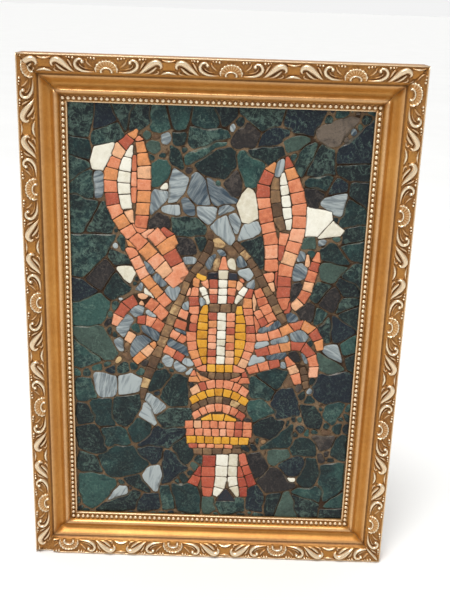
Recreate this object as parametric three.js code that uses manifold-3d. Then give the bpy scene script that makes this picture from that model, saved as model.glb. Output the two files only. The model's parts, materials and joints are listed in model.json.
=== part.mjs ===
// Mosaic wall panel: a lobster of natural-stone tesserae in a carved, gilded moulding.
// Millimetres, +Z up. The picture faces -Y, the wall is the plane Y = 0, and the origin is
// the middle of the back. Everything is drawn in the picture plane (x to the right, y up,
// z out from the wall) and stood up once at the end.

import * as THREE from 'three';
import { mergeVertices } from 'three/addons/utils/BufferGeometryUtils.js';
import Module from 'manifold-3d';

const wasm = await Module();
wasm.setup();

// ---- driving dimensions ----

const SIGHT_WIDTH = 291;
const SIGHT_HEIGHT = 443;
const MOULDING_WIDTH = 44;
const OUTER_HEIGHT = 28.4;       // outer edge of the moulding, out from the wall
const LIP = 7.5;                 // how far the moulding laps over the panel
const LIP_UNDERSIDE = 12.3;
const PANEL_PLAY = 0.5;          // between the panel and the rabbet
const MITRE_GAP = 0.3;
const CLEAR_OF_RAILS = 60;       // height of cutting solids, above all carving

const BOARD_FRONT = 5.5;
const BED_FRONT = 8.5;
const JOINT_FLOOR = 10.5;        // bottom of the joints between tesserae
const STONE_FRONT = 12;
const JOINT = 0.55;              // half the width of a joint at the stone's face
const GROUT = 1.5;               // half the mortar joint between field stones

const PERIOD = 114.5;            // one repeat of the carved ornament
const ORNAMENT_INNER = [27.6, 26.2];
const ORNAMENT_OUTER = [42.6, OUTER_HEIGHT];

const AXIS_X = 6.7;              // the lobster's middle line
const FIELD_STONE_COUNT = 92;
const SHORTEST_SIDE = 7;         // of a field stone
const FLATNESS = 0.002;          // corners this close to a straight edge are left out

// ---- colours and finishes ----

const finish = (color, roughness = 0.55, metalness = 0) =>
  new THREE.MeshStandardMaterial({ color, roughness, metalness });

const finishes = {
  gold: finish(0xb98443, 0.42, 0.6),
  wood: finish(0x8a6a48, 0.8),
  green: finish(0x2d4642),
  pink: finish(0xd07a5c),
  red: finish(0xb4543c),
  white: finish(0xe4dfcc),
  yellow: finish(0xc98d22),
  brown: finish(0x6b5440),
  black: finish(0x20242a),
};

// ---- seeded variation ----

let seed = 20261;

function random() {
  seed = (seed * 16807) % 2147483647;
  return seed / 2147483647;
}

const spread = (amount) => (random() - 0.5) * 2 * amount;

// ---- solids ----

function solidFromGeometry(geometry) {
  geometry.deleteAttribute('normal');
  geometry.deleteAttribute('uv');
  const merged = mergeVertices(geometry, 1e-5);
  return new wasm.Manifold(new wasm.Mesh({
    numProp: 3,
    vertProperties: new Float32Array(merged.attributes.position.array),
    triVerts: new Uint32Array(merged.index.array),
  }));
}

function solidFromCorners(corners) {
  const geometry = new THREE.BufferGeometry();
  geometry.setAttribute('position', new THREE.Float32BufferAttribute(corners.flat(), 3));
  return solidFromGeometry(geometry);
}

function prism(outline, back, front) {
  const shape = new THREE.Shape(outline.map(([x, y]) => new THREE.Vector2(x, y)));
  const geometry = new THREE.ExtrudeGeometry(shape, { depth: front - back, bevelEnabled: false });
  geometry.translate(0, 0, back);
  return solidFromGeometry(geometry);
}

function rectangle(width, height, x = 0, y = 0) {
  return [
    [x - width / 2, y - height / 2],
    [x + width / 2, y - height / 2],
    [x + width / 2, y + height / 2],
    [x - width / 2, y + height / 2],
  ];
}

const joined = (solids) => (solids.length > 1 ? wasm.Manifold.union(solids) : solids[0]);

// A solid drawn in the picture plane, stood up against the wall as a named mesh.
function standingMesh(name, solid, material) {
  const { vertProperties, triVerts, numProp } = solid.simplify(FLATNESS).getMesh();
  const positions = [];
  for (let i = 0; i < vertProperties.length; i += numProp) {
    positions.push(vertProperties[i], -vertProperties[i + 2], vertProperties[i + 1]);
  }
  const geometry = new THREE.BufferGeometry();
  geometry.setAttribute('position', new THREE.Float32BufferAttribute(positions, 3));
  geometry.setIndex(Array.from(triVerts));
  geometry.computeVertexNormals();
  const mesh = new THREE.Mesh(geometry, material.clone());
  mesh.name = name;
  return mesh;
}

// ---- bands of tesserae ----

// Joint lines across a band. A knot is [x, y, width]; the width rides along as the curve's z.
function jointLines(knots, tile) {
  const curve = new THREE.CatmullRomCurve3(
    knots.map(([x, y, width]) => new THREE.Vector3(x, y, width)), false, 'centripetal');
  const count = Math.max(1, Math.round(curve.getLength() / tile));
  const lines = [];
  for (let i = 0; i <= count; i += 1) {
    const isEnd = i === 0 || i === count;
    const at = (i + (isEnd ? 0 : spread(0.1))) / count;
    const middle = curve.getPointAt(at);
    const along = curve.getTangentAt(at);
    const skew = isEnd ? 0 : spread(0.06);
    const angle = Math.atan2(along.y, along.x);
    const half = middle.z / 2;
    const stepX = half * (-Math.sin(angle) + skew * Math.cos(angle));
    const stepY = half * (Math.cos(angle) + skew * Math.sin(angle));
    lines.push({
      left: [middle.x + stepX, middle.y + stepY],
      right: [middle.x - stepX, middle.y - stepY],
    });
  }
  return lines;
}

function towards(from, to, distance) {
  const length = Math.hypot(to[0] - from[0], to[1] - from[1]);
  const share = Math.min(distance / length, 0.3);
  return [from[0] + (to[0] - from[0]) * share, from[1] + (to[1] - from[1]) * share];
}

const at = ([x, y], z) => [x, y, z];

function fan(list, ...corners) {
  for (let i = 1; i < corners.length - 1; i += 1) {
    list.push(corners[0], corners[i], corners[i + 1]);
  }
}

// One closed solid: a setting strip that carries a row of tesserae parted by V joints.
function bandSolid(lines) {
  const faces = [];
  const last = lines.length - 2;
  for (let i = 0; i <= last; i += 1) {
    const [a, b] = [lines[i], lines[i + 1]];
    const isFirst = i === 0;
    const isLast = i === last;
    const startInset = isFirst ? 0 : JOINT;
    const endInset = isLast ? 0 : JOINT;
    const top = {
      leftStart: at(towards(a.left, b.left, startInset), STONE_FRONT),
      rightStart: at(towards(a.right, b.right, startInset), STONE_FRONT),
      leftEnd: at(towards(b.left, a.left, endInset), STONE_FRONT),
      rightEnd: at(towards(b.right, a.right, endInset), STONE_FRONT),
    };
    const startFloor = isFirst ? [] : [at(a.right, JOINT_FLOOR)];
    const endFloor = isLast ? [] : [at(b.right, JOINT_FLOOR)];
    fan(faces, top.rightStart, top.rightEnd, top.leftEnd, top.leftStart);
    fan(faces, at(a.left, BED_FRONT), at(b.left, BED_FRONT), at(b.right, BED_FRONT),
      at(a.right, BED_FRONT));
    fan(faces, at(a.right, BED_FRONT), at(b.right, BED_FRONT), ...endFloor,
      top.rightEnd, top.rightStart, ...startFloor);
    const leftStartFloor = isFirst ? [] : [at(a.left, JOINT_FLOOR)];
    const leftEndFloor = isLast ? [] : [at(b.left, JOINT_FLOOR)];
    fan(faces, at(a.left, BED_FRONT), ...leftStartFloor, top.leftStart, top.leftEnd,
      ...leftEndFloor, at(b.left, BED_FRONT));
    if (isFirst) {
      fan(faces, at(a.left, BED_FRONT), at(a.right, BED_FRONT), top.rightStart, top.leftStart);
    } else {
      fan(faces, at(a.left, JOINT_FLOOR), at(a.right, JOINT_FLOOR), top.rightStart, top.leftStart);
    }
    if (isLast) {
      fan(faces, at(b.right, BED_FRONT), at(b.left, BED_FRONT), top.leftEnd, top.rightEnd);
    } else {
      fan(faces, at(b.right, JOINT_FLOOR), at(b.left, JOINT_FLOOR), top.leftEnd, top.rightEnd);
    }
  }
  return solidFromCorners(faces);
}

// A low strip of mortar under the joint between two bands of one piece.
function bridge([fromX, fromY, toX, toY]) {
  const width = 4;
  const length = Math.hypot(toX - fromX, toY - fromY);
  const [acrossX, acrossY] = [-(toY - fromY) / length * width / 2, (toX - fromX) / length * width / 2];
  const outline = [
    [fromX - acrossX, fromY - acrossY],
    [toX - acrossX, toY - acrossY],
    [toX + acrossX, toY + acrossY],
    [fromX + acrossX, fromY + acrossY],
  ];
  return prism(outline, BED_FRONT, JOINT_FLOOR - 0.3);
}

// ---- the lobster, drawn band by band: knots are [x, y, width] ----

const mirrored = (knots) => knots.map(([x, y, width]) => [2 * AXIS_X - x, y, width]);

// A shallow arch across the tail, highest on the middle line.
function arch(middleY, halfSpan, drop, width) {
  const knots = [];
  for (let i = -3; i <= 3; i += 1) {
    const share = i / 3;
    knots.push([AXIS_X + share * halfSpan, middleY - drop * share ** 2, width * (1 - 0.15 * share ** 2)]);
  }
  return knots;
}

const row = (fromX, toX, y, width) => [[fromX, y, width], [toX, y, width]];

const oval = [[-10.6, 22, 4], [-12.4, 6, 9.4], [-12.8, -12, 10.2], [-11.7, -28, 8.2], [-9.4, -41.6, 3]];
const innerColumn = [[-2.5, 14.4, 8.2], [-2.5, -41.2, 8.2]];
const crown = [[-3, 49.5, 8.4], [-1.6, 25.6, 6]];
const whisker = [[-13.9, 41, 5.8], [-7.4, 24.9, 2.6]];

const pieces = {
  left_claw: {
    finish: 'pink',
    tile: 12.6,
    bands: [
      [[-79.5, 197.5, 3], [-88, 187.5, 9], [-98, 177, 11], [-104.5, 160, 12], [-105.5, 140, 12],
        [-101.5, 118, 12], [-91.5, 101.5, 12.5]],
      [[-77.5, 186, 7], [-74.5, 173, 9.5], [-73, 160, 12.4], [-73, 140, 12.4], [-74.2, 120, 12],
        [-76, 101.5, 10.5]],
      [[-88, 117.6, 8.4], [-85.4, 106, 2.6]],
      [[-65, 97.5, 12.8], [-48, 78, 13.4], [-33.5, 52.5, 12.2]],
      [[-83, 92.5, 12], [-62.5, 69.5, 13.2], [-39, 43.5, 11.8]],
      [[-55, 101, 4.5], [-48, 96, 7], [-42, 84.5, 6.6]],
    ],
    bridges: [[-84, 187, -76, 183], [-96, 113, -87, 114],
      [-90, 103, -82, 92], [-66, 72, -54, 83], [-52, 86, -44, 92], [-77, 103, -66, 94]],
  },
  left_claw_sliver: {
    finish: 'pink',
    tile: 15,
    bands: [[[-82.6, 172, 3.8], [-82.7, 150, 4.6], [-83, 127, 4]]],
  },
  left_claw_inlay: {
    finish: 'white',
    tile: 12.4,
    bands: [[[-85.2, 181.5, 2.6], [-89.2, 169, 8], [-92.6, 152, 11.2], [-92.6, 137, 11.4],
      [-90, 120.8, 10.2]]],
  },
  left_leg_1: {
    finish: 'pink',
    tile: 12.4,
    bands: [[[-88, 81, 8], [-79.5, 65, 9.4], [-72, 50, 9.4], [-60, 35, 9.4], [-48, 22.5, 9.4]]],
  },
  left_leg_2: {
    finish: 'pink',
    tile: 11.6,
    bands: [[[-103, -2, 6], [-99, 8, 9.4], [-90, 20.5, 10], [-77, 27.5, 10], [-64, 20.5, 10],
      [-51.5, 9, 9.4]]],
  },
  left_leg_3: {
    finish: 'pink',
    tile: 10.6,
    bands: [[[-79.5, 4.5, 8], [-67, 4, 9.6], [-54.5, -4, 9.6]]],
  },
  left_leg_4: {
    finish: 'pink',
    tile: 11,
    bands: [[[-65, -25.2, 7.4], [-70, -30, 9], [-82, -42, 8]]],
  },
  left_antenna: {
    finish: 'brown',
    tile: 12.5,
    bands: [[[-6, 89.5, 6], [-14, 70, 6.4], [-24.8, 55, 5.4], [-30.4, 44, 5.2], [-33.6, 33, 5.4],
      [-39.5, 20.5, 7], [-45, 6, 8], [-50, -9, 8], [-57, -27, 8], [-65, -48, 8], [-72, -68, 7],
      [-74, -84, 4]]],
  },
  right_antenna: {
    finish: 'brown',
    tile: 10.5,
    bands: [[[17, 88.5, 5.6], [26, 79.5, 5.8], [35.5, 67.5, 6], [44.5, 52.5, 6.4], [57, 30, 6.6],
      [71, 6.5, 6.6]]],
  },
  right_antenna_tip: {
    finish: 'brown',
    tile: 8.5,
    bands: [[[92.6, -43, 4.5], [94.5, -52, 6], [97.5, -66, 5]]],
  },
  right_claw: {
    finish: 'pink',
    tile: 12.6,
    bands: [
      [[53.5, 170, 2.6], [47.5, 160, 9.5], [43.2, 148, 12], [43.6, 134, 12.2], [47.6, 112, 12],
        [52.6, 92, 12.2], [54.4, 76, 12.4], [54.4, 61.5, 12.4]],
      [[64.2, 176, 2.6], [68.6, 162, 9.6], [76, 143, 12], [80, 121, 12.4], [79, 100, 12.4],
        [73.2, 77, 12.2], [68.4, 60, 12.4], [68.4, 34, 12.4], [70.4, 21.5, 5]],
      [[65.8, 99.6, 9.4], [64, 86, 5], [63, 73, 3.2]],
      [[53.8, 58.6, 11.5], [55.8, 50, 8.6], [58.6, 41, 4]],
    ],
    bridges: [[54, 95, 66, 95], [64, 95, 78, 95], [54, 54, 54, 66]],
  },
  right_claw_inlay: {
    finish: 'white',
    tile: 12.2,
    bands: [[[61.6, 160, 2.8], [62.9, 148, 5.8], [66, 130, 7], [68.6, 115, 6.8], [70.4, 104.4, 3.6]]],
  },
  right_claw_shadow: {
    finish: 'brown',
    tile: 12,
    bands: [[[54.9, 155, 4.4], [54.6, 145, 7.4], [56, 130, 7.8], [60, 113, 7.4], [63.8, 104, 6]]],
  },
  right_pincer: {
    finish: 'pink',
    tile: 12,
    bands: [[[101, 82, 2.6], [99, 70, 8], [94.6, 55, 9], [92.2, 42, 9], [87, 31, 9],
      [78.6, 22.5, 8.6]]],
  },
  right_pincer_thumb: { finish: 'pink', tile: 12, bands: [[[90.6, 79, 2.4], [90.6, 67, 5]]] },
  right_leg_1: {
    finish: 'pink',
    tile: 12.2,
    bands: [[[44, -11.5, 7.6], [58, -8.4, 8.2], [74, -1.6, 8.4], [86, 5.4, 9], [97, 1, 9.4],
      [106.4, -11, 9], [109.6, -23, 7]]],
  },
  right_leg_2: {
    finish: 'pink',
    tile: 12.2,
    bands: [[[43.4, -28.5, 8], [58, -24.6, 8.4], [76, -19.4, 8.8], [91, -18.8, 9.2],
      [100.4, -28.6, 9], [104.4, -42, 9], [104.2, -53, 8]]],
  },
  right_leg_3: {
    finish: 'pink',
    tile: 12,
    bands: [
      [[36, -48.6, 7.6], [50, -43.4, 8.6], [68, -38, 8]],
      [[74.8, -31.5, 4], [81, -42, 8.6], [89, -61, 8]],
    ],
    bridges: [[65, -39, 78, -36]],
  },
  head_point: { finish: 'pink', tile: 20, bands: [[[AXIS_X, 74, 3], [AXIS_X, 68, 7.4], [AXIS_X, 61, 8.4]]] },
  left_eye: { finish: 'black', tile: 20, bands: [row(-8.4, 1, 54.2, 6)] },
  right_eye: { finish: 'black', tile: 20, bands: [row(12.4, 21, 54.2, 6)] },
  head_spine: { finish: 'white', tile: 8.8, bands: [[[AXIS_X, 59.4, 8.4], [AXIS_X, 25.4, 8.4]]] },
  left_crown: { finish: 'pink', tile: 8, bands: [crown] },
  right_crown: { finish: 'pink', tile: 8, bands: [mirrored(crown)] },
  left_whisker: { finish: 'white', tile: 9, bands: [whisker] },
  right_whisker: {
    finish: 'white', tile: 9, bands: [[[29.4, 42, 5.4], [24.4, 33, 5], [20.2, 25.4, 2.6]]],
  },
  collar: { finish: 'brown', tile: 9.6, bands: [row(-5.4, 15.2, 19.8, 8.4)] },
  back_spine: { finish: 'white', tile: 9.4, bands: [[[AXIS_X, 14.6, 8.6], [AXIS_X, -41.2, 8.6]]] },
  left_back_column: { finish: 'pink', tile: 8, bands: [innerColumn] },
  right_back_column: { finish: 'pink', tile: 8, bands: [mirrored(innerColumn)] },
  left_oval: { finish: 'yellow', tile: 9.4, bands: [oval] },
  right_oval: { finish: 'yellow', tile: 9.4, bands: [mirrored(oval)] },
  left_flank: {
    finish: 'pink',
    tile: 9.4,
    bands: [
      [[-19.8, 50.5, 6], [-22.6, 38, 8], [-21.6, 18, 8.8], [-23.6, -2, 8.8], [-24, -16, 8.8],
        [-20.8, -31, 8.4], [-15.4, -44.6, 7.2]],
      [[-36.6, 13.6, 7.6], [-28.4, 10, 7.8]],
      [[-40.6, 2.6, 7.6], [-30, -1.6, 7.8]],
      [[-44.6, -8.6, 7.6], [-30.6, -16.8, 7.8]],
      [[-51.6, -26.4, 7.6], [-32, -37, 7.8]],
    ],
    bridges: [[-31, 11, -24, 9], [-34, 0, -24, -3], [-34, -15, -24, -18], [-34, -36, -20, -34]],
  },
  right_flank: {
    finish: 'pink',
    tile: 9.4,
    bands: [
      [[35.2, 40.5, 4.6], [32.8, 32, 6.8], [33, 18, 8.4], [36.2, 2, 8.4], [37.2, -12, 8.8],
        [35, -27, 8.6], [28.2, -44.6, 8]],
      [[42, 40.5, 8], [49, 24.6, 9.6], [58.4, 8, 7.6]],
      [[42.6, 18, 7], [50.6, 3, 7]],
    ],
    bridges: [[32, 30, 46, 31], [45, 14, 53, 18]],
  },
  yellow_chin: { finish: 'yellow', tile: 8.6, bands: [row(-7, 19.4, -46.6, 8)] },
  brown_chin: {
    finish: 'brown', tile: 8.8, bands: [[[-14, -53.2, 4], [AXIS_X, -55.4, 6.4], [27, -53.2, 4]]],
  },
  tail_ring_1: {
    finish: 'pink',
    tile: 9.4,
    bands: [
      arch(-64, 29.5, 10.5, 8.4),
      [[-21, -50.5, 2.6], [-20.5, -62.6, 12]],
      [[31.5, -50.6, 2.6], [32, -62.6, 12]],
    ],
    bridges: [[-20, -60, -17, -67], [32, -60, 30, -67]],
  },
  tail_ring_2: { finish: 'yellow', tile: 9.2, bands: [arch(-73.6, 29.5, 11.4, 7.8)] },
  tail_ring_3: { finish: 'brown', tile: 9, bands: [arch(-82.2, 27.8, 11.5, 6.2)] },
  tail_ring_4: { finish: 'pink', tile: 8.8, bands: [arch(-91.6, 27, 11, 7.6)] },
  tail_ring_5: {
    finish: 'yellow',
    tile: 12.6,
    bands: [[[-11, -105.6, 2], [AXIS_X, -102.2, 8], [25, -105.6, 2]]],
  },
  tail_ring_6: {
    finish: 'pink',
    tile: 8.7,
    bands: [row(-28.6, 42, -112, 8), row(-27, 42, -121, 8)],
    bridges: [[6, -114, 6, -119]],
  },
  tail_ring_7: { finish: 'yellow', tile: 9.4, bands: [row(-26.5, 39, -130.2, 8)] },
  tail_ring_8: { finish: 'pink', tile: 9, bands: [row(-24, 22, -137.2, 4.2)] },
  tail_ring_9: { finish: 'brown', tile: 10, bands: [[[-19, -144, 6.2], [32, -142.6, 5.2]]] },
  tail_fan_middle: {
    finish: 'white',
    tile: 12.8,
    bands: [
      [[12.4, -148.6, 12], [11.5, -172, 12.6], [10.4, -186, 12], [5.4, -198, 3]],
      [[24, -146.4, 8.6], [24, -176, 9], [25.8, -187, 9], [30.4, -198, 3]],
    ],
    bridges: [[12, -160, 24, -160]],
  },
  tail_fan_left: {
    finish: 'red',
    tile: 12,
    bands: [
      [[-2.2, -149.6, 12.6], [-2.6, -180, 13], [-3.6, -199, 8]],
      [[-11.8, -163, 2.2], [-14.4, -173, 7], [-19.5, -185, 12]],
    ],
    bridges: [[-14, -176, -4, -176]],
  },
  tail_fan_right: {
    finish: 'red',
    tile: 11.6,
    bands: [
      [[33.4, -146, 6], [36.6, -160, 7.6], [46.2, -184, 8.6]],
      [[31.2, -162, 3.6], [33.6, -176, 7.6], [36.6, -190, 8.4], [36.4, -198, 8]],
    ],
    bridges: [[34, -172, 42, -172]],
  },
  tail_fan_notch: { finish: 'black', tile: 30, bands: [[[17.3, -190, 2.4], [17.4, -204, 21]]] },
};

// ---- single stones: [x, y, half length, half width, turn in degrees] ----

const whiteStones = {
  left_white_stone: [-117.4, 170.5, 14.5, 7.8, 68],
  middle_white_stone: [28, 126, 18.5, 10, 88],
  right_white_stone: [100, 114, 14, 11.6, 60],
  outer_white_stone: [112.5, 98.5, 13.5, 7.5, 30],
};

const headStones = [[-0.6, 66.4, 4.6, 2.8, 92], [15.6, 66.4, 4.8, 3.4, 90], [-13.2, 50.6, 4.6, 2.6, -35],
  [25.6, 49.2, 3.6, 2.2, 40]];

function roundStone([x, y, halfLength, halfWidth, degrees], sides = 7) {
  const turn = THREE.MathUtils.degToRad(degrees);
  const outline = [];
  for (let i = 0; i < sides; i += 1) {
    const angle = ((i + spread(0.16)) / sides) * Math.PI * 2;
    const along = halfLength * Math.cos(angle);
    const across = halfWidth * Math.sin(angle);
    outline.push([
      x + along * Math.cos(turn) - across * Math.sin(turn),
      y + along * Math.sin(turn) + across * Math.cos(turn),
    ]);
  }
  return outline;
}

// ---- the field: crazy paving of seeded cells around the lobster ----

// Places where the paving has a stone of its own, such as the grey pebbles and the dark slates.
const fixedCentres = [
  [-40, 143], [-19, 144], [-5, 139], [-61, 127], [-46, 120], [-30, 123], [-12, 117], [6, 103],
  [17, 110], [31, 101], [-121, 145], [-115, -63], [-89, -64], [-61, -88], [-69, -104], [-62, -178],
  [-102, -196], [122, -31], [110, 134], [-58, 108], [-32, 88], [23, 193], [109, 203], [95, 141],
  [13, 149], [99, 18], [109, 33], [120, -129], [71, -176], [51, -158], [103, -100], [-107, 49],
  [-130, -185], [-58, 48], [-91, 61], [-81, 14], [-92, -3], [-72, -12], [84, 68], [85, 52],
];

const area = (outline) => outline.reduce((sum, [x, y], i) => {
  const [nextX, nextY] = outline[(i + 1) % outline.length];
  return sum + (x * nextY - nextX * y) / 2;
}, 0);

function centroid(outline) {
  const total = area(outline);
  let [sumX, sumY] = [0, 0];
  outline.forEach(([x, y], i) => {
    const [nextX, nextY] = outline[(i + 1) % outline.length];
    const cross = x * nextY - nextX * y;
    sumX += (x + nextX) * cross;
    sumY += (y + nextY) * cross;
  });
  return [sumX / (6 * total), sumY / (6 * total)];
}

// Keeps the part of a convex outline where (point - origin) . normal is positive.
function clipped(outline, origin, normal) {
  const side = ([x, y]) => (x - origin[0]) * normal[0] + (y - origin[1]) * normal[1];
  const kept = [];
  outline.forEach((point, i) => {
    const next = outline[(i + 1) % outline.length];
    const [here, there] = [side(point), side(next)];
    if (here >= 0) kept.push(point);
    if ((here >= 0) !== (there >= 0)) {
      const share = here / (here - there);
      kept.push([point[0] + (next[0] - point[0]) * share, point[1] + (next[1] - point[1]) * share]);
    }
  });
  return kept;
}

function nearestOn(outline, [x, y]) {
  let best = { distance: Infinity };
  outline.forEach(([fromX, fromY], i) => {
    const [toX, toY] = outline[(i + 1) % outline.length];
    const [spanX, spanY] = [toX - fromX, toY - fromY];
    const share = ((x - fromX) * spanX + (y - fromY) * spanY) / (spanX ** 2 + spanY ** 2);
    const held = Math.min(1, Math.max(0, share));
    const [nearX, nearY] = [fromX + spanX * held, fromY + spanY * held];
    const distance = Math.hypot(x - nearX, y - nearY);
    if (distance < best.distance) best = { distance, point: [nearX, nearY] };
  });
  return best;
}

function isInside(outline, [x, y]) {
  return outline.every(([fromX, fromY], i) => {
    const [toX, toY] = outline[(i + 1) % outline.length];
    return (toX - fromX) * (y - fromY) - (toY - fromY) * (x - fromX) > 0;
  });
}

const FIELD = rectangle(SIGHT_WIDTH + 2 * LIP - 6, SIGHT_HEIGHT + 2 * LIP - 6);
const REACH = 60;

function fieldCell(index, centres, obstacles) {
  const centre = centres[index];
  let cell = FIELD;
  centres.forEach((other, i) => {
    const gap = Math.hypot(other[0] - centre[0], other[1] - centre[1]);
    if (i === index || gap > 2 * REACH) return;
    const normal = [(centre[0] - other[0]) / gap, (centre[1] - other[1]) / gap];
    const middle = [(centre[0] + other[0]) / 2, (centre[1] + other[1]) / 2];
    cell = clipped(cell, [middle[0] + normal[0] * GROUT / 2, middle[1] + normal[1] * GROUT / 2], normal);
  });
  obstacles.forEach((obstacle) => {
    const { distance, point } = nearestOn(obstacle, centre);
    if (distance > REACH) return;
    const normal = [(centre[0] - point[0]) / distance, (centre[1] - point[1]) / distance];
    cell = clipped(cell, [point[0] + normal[0] * GROUT, point[1] + normal[1] * GROUT], normal);
  });
  return cell;
}

function withoutShortSides(outline, shortest) {
  return outline.filter(([x, y], i) => {
    const [nextX, nextY] = outline[(i + 1) % outline.length];
    return Math.hypot(nextX - x, nextY - y) > shortest;
  });
}

function fieldStones(obstacles) {
  const isFree = (point, room) => obstacles.every((obstacle) =>
    !isInside(obstacle, point) && nearestOn(obstacle, point).distance > room);
  const centres = fixedCentres.filter((point) => isFree(point, 2.5));
  const fixedCount = centres.length;
  let room = 26;
  while (centres.length < FIELD_STONE_COUNT) {
    room *= 0.9985;
    const point = [spread(SIGHT_WIDTH / 2 + 3), spread(SIGHT_HEIGHT / 2 + 3)];
    const isApart = centres.every(([x, y]) => Math.hypot(x - point[0], y - point[1]) > room);
    if (isApart && isFree(point, 4)) centres.push(point);
  }
  const relaxRounds = 6;
  for (let round = 0; round < relaxRounds; round += 1) {
    for (let i = fixedCount; i < centres.length; i += 1) {
      const cell = fieldCell(i, centres, obstacles);
      if (cell.length > 2) centres[i] = centroid(cell);
    }
  }
  const smallest = 55;
  return centres
    .map((centre, i) => withoutShortSides(fieldCell(i, centres, obstacles), SHORTEST_SIDE))
    .filter((cell) => cell.length > 2 && area(cell) > smallest);
}

// ---- the moulding ----

// Section of the moulding: [out from the sight edge, out from the wall].
const section = [
  [LIP, 0], [MOULDING_WIDTH, 0], [MOULDING_WIDTH, OUTER_HEIGHT], ORNAMENT_OUTER, ORNAMENT_INNER,
  [25.2, 20.9], [24, 21.3], [18.4, 18.3], [13.2, 17.9], [12.2, 19.5], [10.4, 20.2], [8.6, 19.3],
  [7, 15.9], [5.8, 15.9], [3.9, 18], [2, 15.9], [0, 15.3], [0, LIP_UNDERSIDE],
  [LIP, LIP_UNDERSIDE],
];

const slope = Math.atan2(
  ORNAMENT_OUTER[1] - ORNAMENT_INNER[1], ORNAMENT_OUTER[0] - ORNAMENT_INNER[0]);

// A point of the carving: along the rail, across the ornament's bed, and raised from it.
function carved(along, across, raised) {
  return [
    along,
    ORNAMENT_INNER[0] + across * Math.cos(slope) - raised * Math.sin(slope),
    ORNAMENT_INNER[1] + across * Math.sin(slope) + raised * Math.cos(slope),
  ];
}

const SUNK = -0.3;

// A tapering carved ridge along a route of [along, across, half width, raised].
function carvedRidge(route) {
  const faces = [];
  const sections = route.map(([along, across, half, raised], i) => {
    const before = route[Math.max(0, i - 1)];
    const after = route[Math.min(route.length - 1, i + 1)];
    const angle = Math.atan2(after[1] - before[1], after[0] - before[0]) + Math.PI / 2;
    const [stepX, stepY] = [half * Math.cos(angle), half * Math.sin(angle)];
    return {
      left: carved(along + stepX, across + stepY, SUNK),
      right: carved(along - stepX, across - stepY, SUNK),
      ridge: carved(along, across, raised),
    };
  });
  for (let i = 0; i < sections.length - 1; i += 1) {
    const [a, b] = [sections[i], sections[i + 1]];
    fan(faces, a.right, b.right, b.ridge, a.ridge);
    fan(faces, a.ridge, b.ridge, b.left, a.left);
    fan(faces, a.left, b.left, b.right, a.right);
  }
  const [first, last] = [sections[0], sections[sections.length - 1]];
  fan(faces, first.left, first.right, first.ridge);
  fan(faces, last.right, last.left, last.ridge);
  return solidFromCorners(faces);
}

// A shallow shell: lobes round a raised hinge.
function carvedShell(along) {
  const lobes = 6;
  const [width, height, across] = [10.4, 9, 4.4];
  const rim = [];
  for (let i = 0; i <= lobes; i += 1) {
    const angle = THREE.MathUtils.degToRad(-18 + (216 * i) / lobes);
    rim.push(carved(along + width * Math.cos(angle), across + height * Math.sin(angle), SUNK));
  }
  const faces = [];
  const hinge = carved(along, across + 3.6, 3.6);
  rim.forEach((point, i) => fan(faces, point, rim[(i + 1) % rim.length], hinge));
  fan(faces, ...rim.slice().reverse());
  return solidFromCorners(faces);
}

function carvedPanel(along) {
  const [half, low, high, raised] = [7, 3.6, 12, 1.6];
  const rim = [[-half, low], [half, low], [half * 0.7, high], [-half * 0.7, high]]
    .map(([x, across]) => carved(along + x, across, SUNK));
  const top = carved(along, (low + high) / 2, raised);
  const faces = [];
  rim.forEach((point, i) => fan(faces, point, rim[(i + 1) % rim.length], top));
  fan(faces, ...rim.slice().reverse());
  return solidFromCorners(faces);
}

const scroll = [[12.6, 1.8, 0.5, 1.6], [21, 2.4, 1.6, 2.8], [27.6, 7.4, 1.9, 3.1], [21.6, 11.4, 1.7, 2.8]];
const leaf = [[31, 2, 0.6, 1.4], [39, 6.4, 3, 3.1], [45.4, 12, 0.8, 1.6]];

const turned = (route) => route.map(([along, across, half, raised]) => [-along, across, half, raised]);
const shifted = (route, by) => route.map(([along, across, half, raised]) =>
  [along + by, across, half, raised]);

// One repeat of the carving, from the shell's middle out to both sides.
function carvedRepeat(along) {
  const sides = [scroll, leaf].flatMap((route) => [
    carvedRidge(shifted(route, along)),
    carvedRidge(shifted(turned(route), along)),
  ]);
  return [carvedShell(along), carvedPanel(along + PERIOD / 2), ...sides];
}

// A rail lies along +x with its sight edge at y = 0; its ends are mitred.
function railSolid(sightLength, firstShell, damage = []) {
  const length = sightLength + 2 * MOULDING_WIDTH + 20;
  const shape = new THREE.Shape(section.map(([out, height]) => new THREE.Vector2(out, height)));
  const geometry = new THREE.ExtrudeGeometry(shape, { depth: length, bevelEnabled: false });
  // The section's axes (out, height, length) become (y, z, x).
  const positions = geometry.attributes.position.array;
  for (let i = 0; i < positions.length; i += 3) {
    const [out, height, depth] = positions.slice(i, i + 3);
    positions[i] = depth - length / 2;
    positions[i + 1] = out;
    positions[i + 2] = height;
  }
  const carving = [];
  const reach = length / 2 + PERIOD / 2;
  for (let along = firstShell; along < reach; along += PERIOD) carving.push(...carvedRepeat(along));
  for (let along = firstShell - PERIOD; along > -reach; along -= PERIOD) carving.push(...carvedRepeat(along));
  const half = sightLength / 2 - (MITRE_GAP / 2) * Math.SQRT2;
  const wedge = prism([
    [-half + 1, -1], [half - 1, -1], [half + MOULDING_WIDTH, MOULDING_WIDTH],
    [-half - MOULDING_WIDTH, MOULDING_WIDTH],
  ], -1, CLEAR_OF_RAILS);
  const whole = joined([solidFromGeometry(geometry), ...carving]);
  return damage.reduce((solid, cut) => solid.subtract(cut), whole.intersect(wedge));
}

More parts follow.
